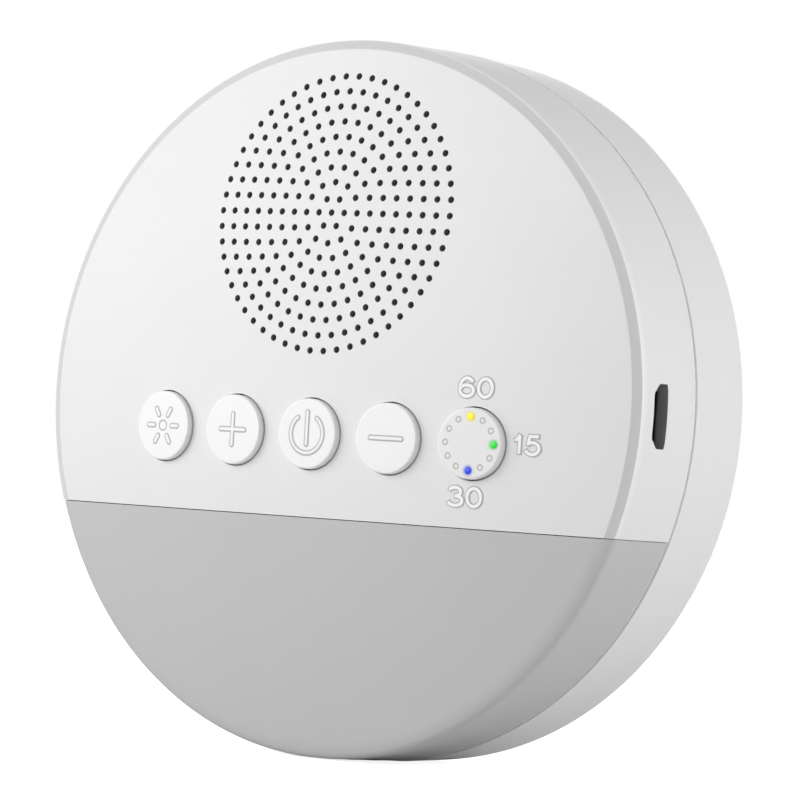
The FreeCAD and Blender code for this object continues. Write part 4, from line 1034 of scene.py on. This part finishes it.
for node in nodes.values():
    slot = node.data.materials[0].name.split(".")[0]
    slot = slot if slot in FINISHES else "white_shell"
    if slot not in made:
        made[slot] = inner_material(slot, *FINISHES[slot])
    node.data.materials.clear()
    node.data.materials.append(made[slot])
print("materials for", len(nodes), "nodes:", ", ".join(sorted(made)))

# %% [markdown]
# ## Studio
# A product photograph of this kind is lit by large soft boxes. One at the front left lights the face, a
# smaller one at the right lights the side, and a third lights the back for views from behind. The floor
# is pale and keeps a faint shadow. The world is white for the camera and through clear things, dim as a
# light, and between the two in mirror reflections.

# %% Floor, world and lights
FLOOR_HALF, FLOOR_DROP, FLOOR_GLOW = 4.0, 0.0002, 0.85
WORLD_LIGHT, GLOSSY_SHARE = 0.38, 0.25
CASE_MIDDLE = (0.0, 0.0, 0.05)


def make_floor():
    """A square that glows for the camera alone, so the white background adds no light to the object."""
    corners = [(-1, -1), (1, -1), (1, 1), (-1, 1)]
    mesh = bpy.data.meshes.new("floor")
    mesh.from_pydata([(x * FLOOR_HALF, y * FLOOR_HALF, 0) for x, y in corners], [], [(0, 1, 2, 3)])
    floor = bpy.data.objects.new("floor", mesh)
    bpy.context.scene.collection.objects.link(floor)
    floor.location.z = -FLOOR_DROP
    shader = Shader("floor_paper")
    tone = shader.mix(shader.noise(3.0), linear(228, 228, 228), linear(225, 225, 225))
    seen = shader.node("ShaderNodeLightPath", output="Is Camera Ray")
    glow = shader.mix(seen, (0.0, 0.0, 0.0), (1.0, 1.0, 1.0))
    shader.set(Base_Color=tone, Emission_Color=glow, Emission_Strength=FLOOR_GLOW, Roughness=0.9)
    mesh.materials.append(shader.material)


def make_world():
    """The strength is 1 for rays that should see white, less for gloss, and least for rays that light things."""
    world = bpy.data.worlds.new("studio")
    world.use_nodes = True
    bpy.context.scene.world = world
    tree = world.node_tree
    path = tree.nodes.new("ShaderNodeLightPath")
    camera_ray, clear_ray, glossy_ray = (
        Maths(tree, path.outputs[name]) for name in ("Is Camera Ray", "Is Transmission Ray", "Is Glossy Ray")
    )
    seen = (camera_ray + clear_ray + glossy_ray * GLOSSY_SHARE).limited()
    level = seen * (1.0 - WORLD_LIGHT) + WORLD_LIGHT
    background = tree.nodes["Background"]
    background.inputs["Color"].default_value = (1.0, 1.0, 1.0, 1.0)
    tree.links.new(level.socket, background.inputs["Strength"])


def soft_box(name, place, width, power):
    """A square lamp at a place in metres, turned so that its axis points at the middle of the case."""
    data = bpy.data.lights.new(name, "AREA")
    data.shape = "RECTANGLE"
    data.size, data.size_y = width, width
    data.energy = power
    lamp = bpy.data.objects.new(name, data)
    bpy.context.scene.collection.objects.link(lamp)
    away = Vector(place) - Vector(CASE_MIDDLE)
    lamp.rotation_euler = away.to_track_quat("Z", "Y").to_euler()
    lamp.location = place


make_floor()
make_world()
soft_box("key", (-0.85, -1.05, 0.36), 1.5, 20.0)
soft_box("side", (1.15, 0.38, 0.30), 0.7, 8.2)
soft_box("back", (-0.9, 1.4, 0.15), 1.0, 6.0)
bpy.context.scene.view_settings.view_transform = "Standard"
print("studio ready")
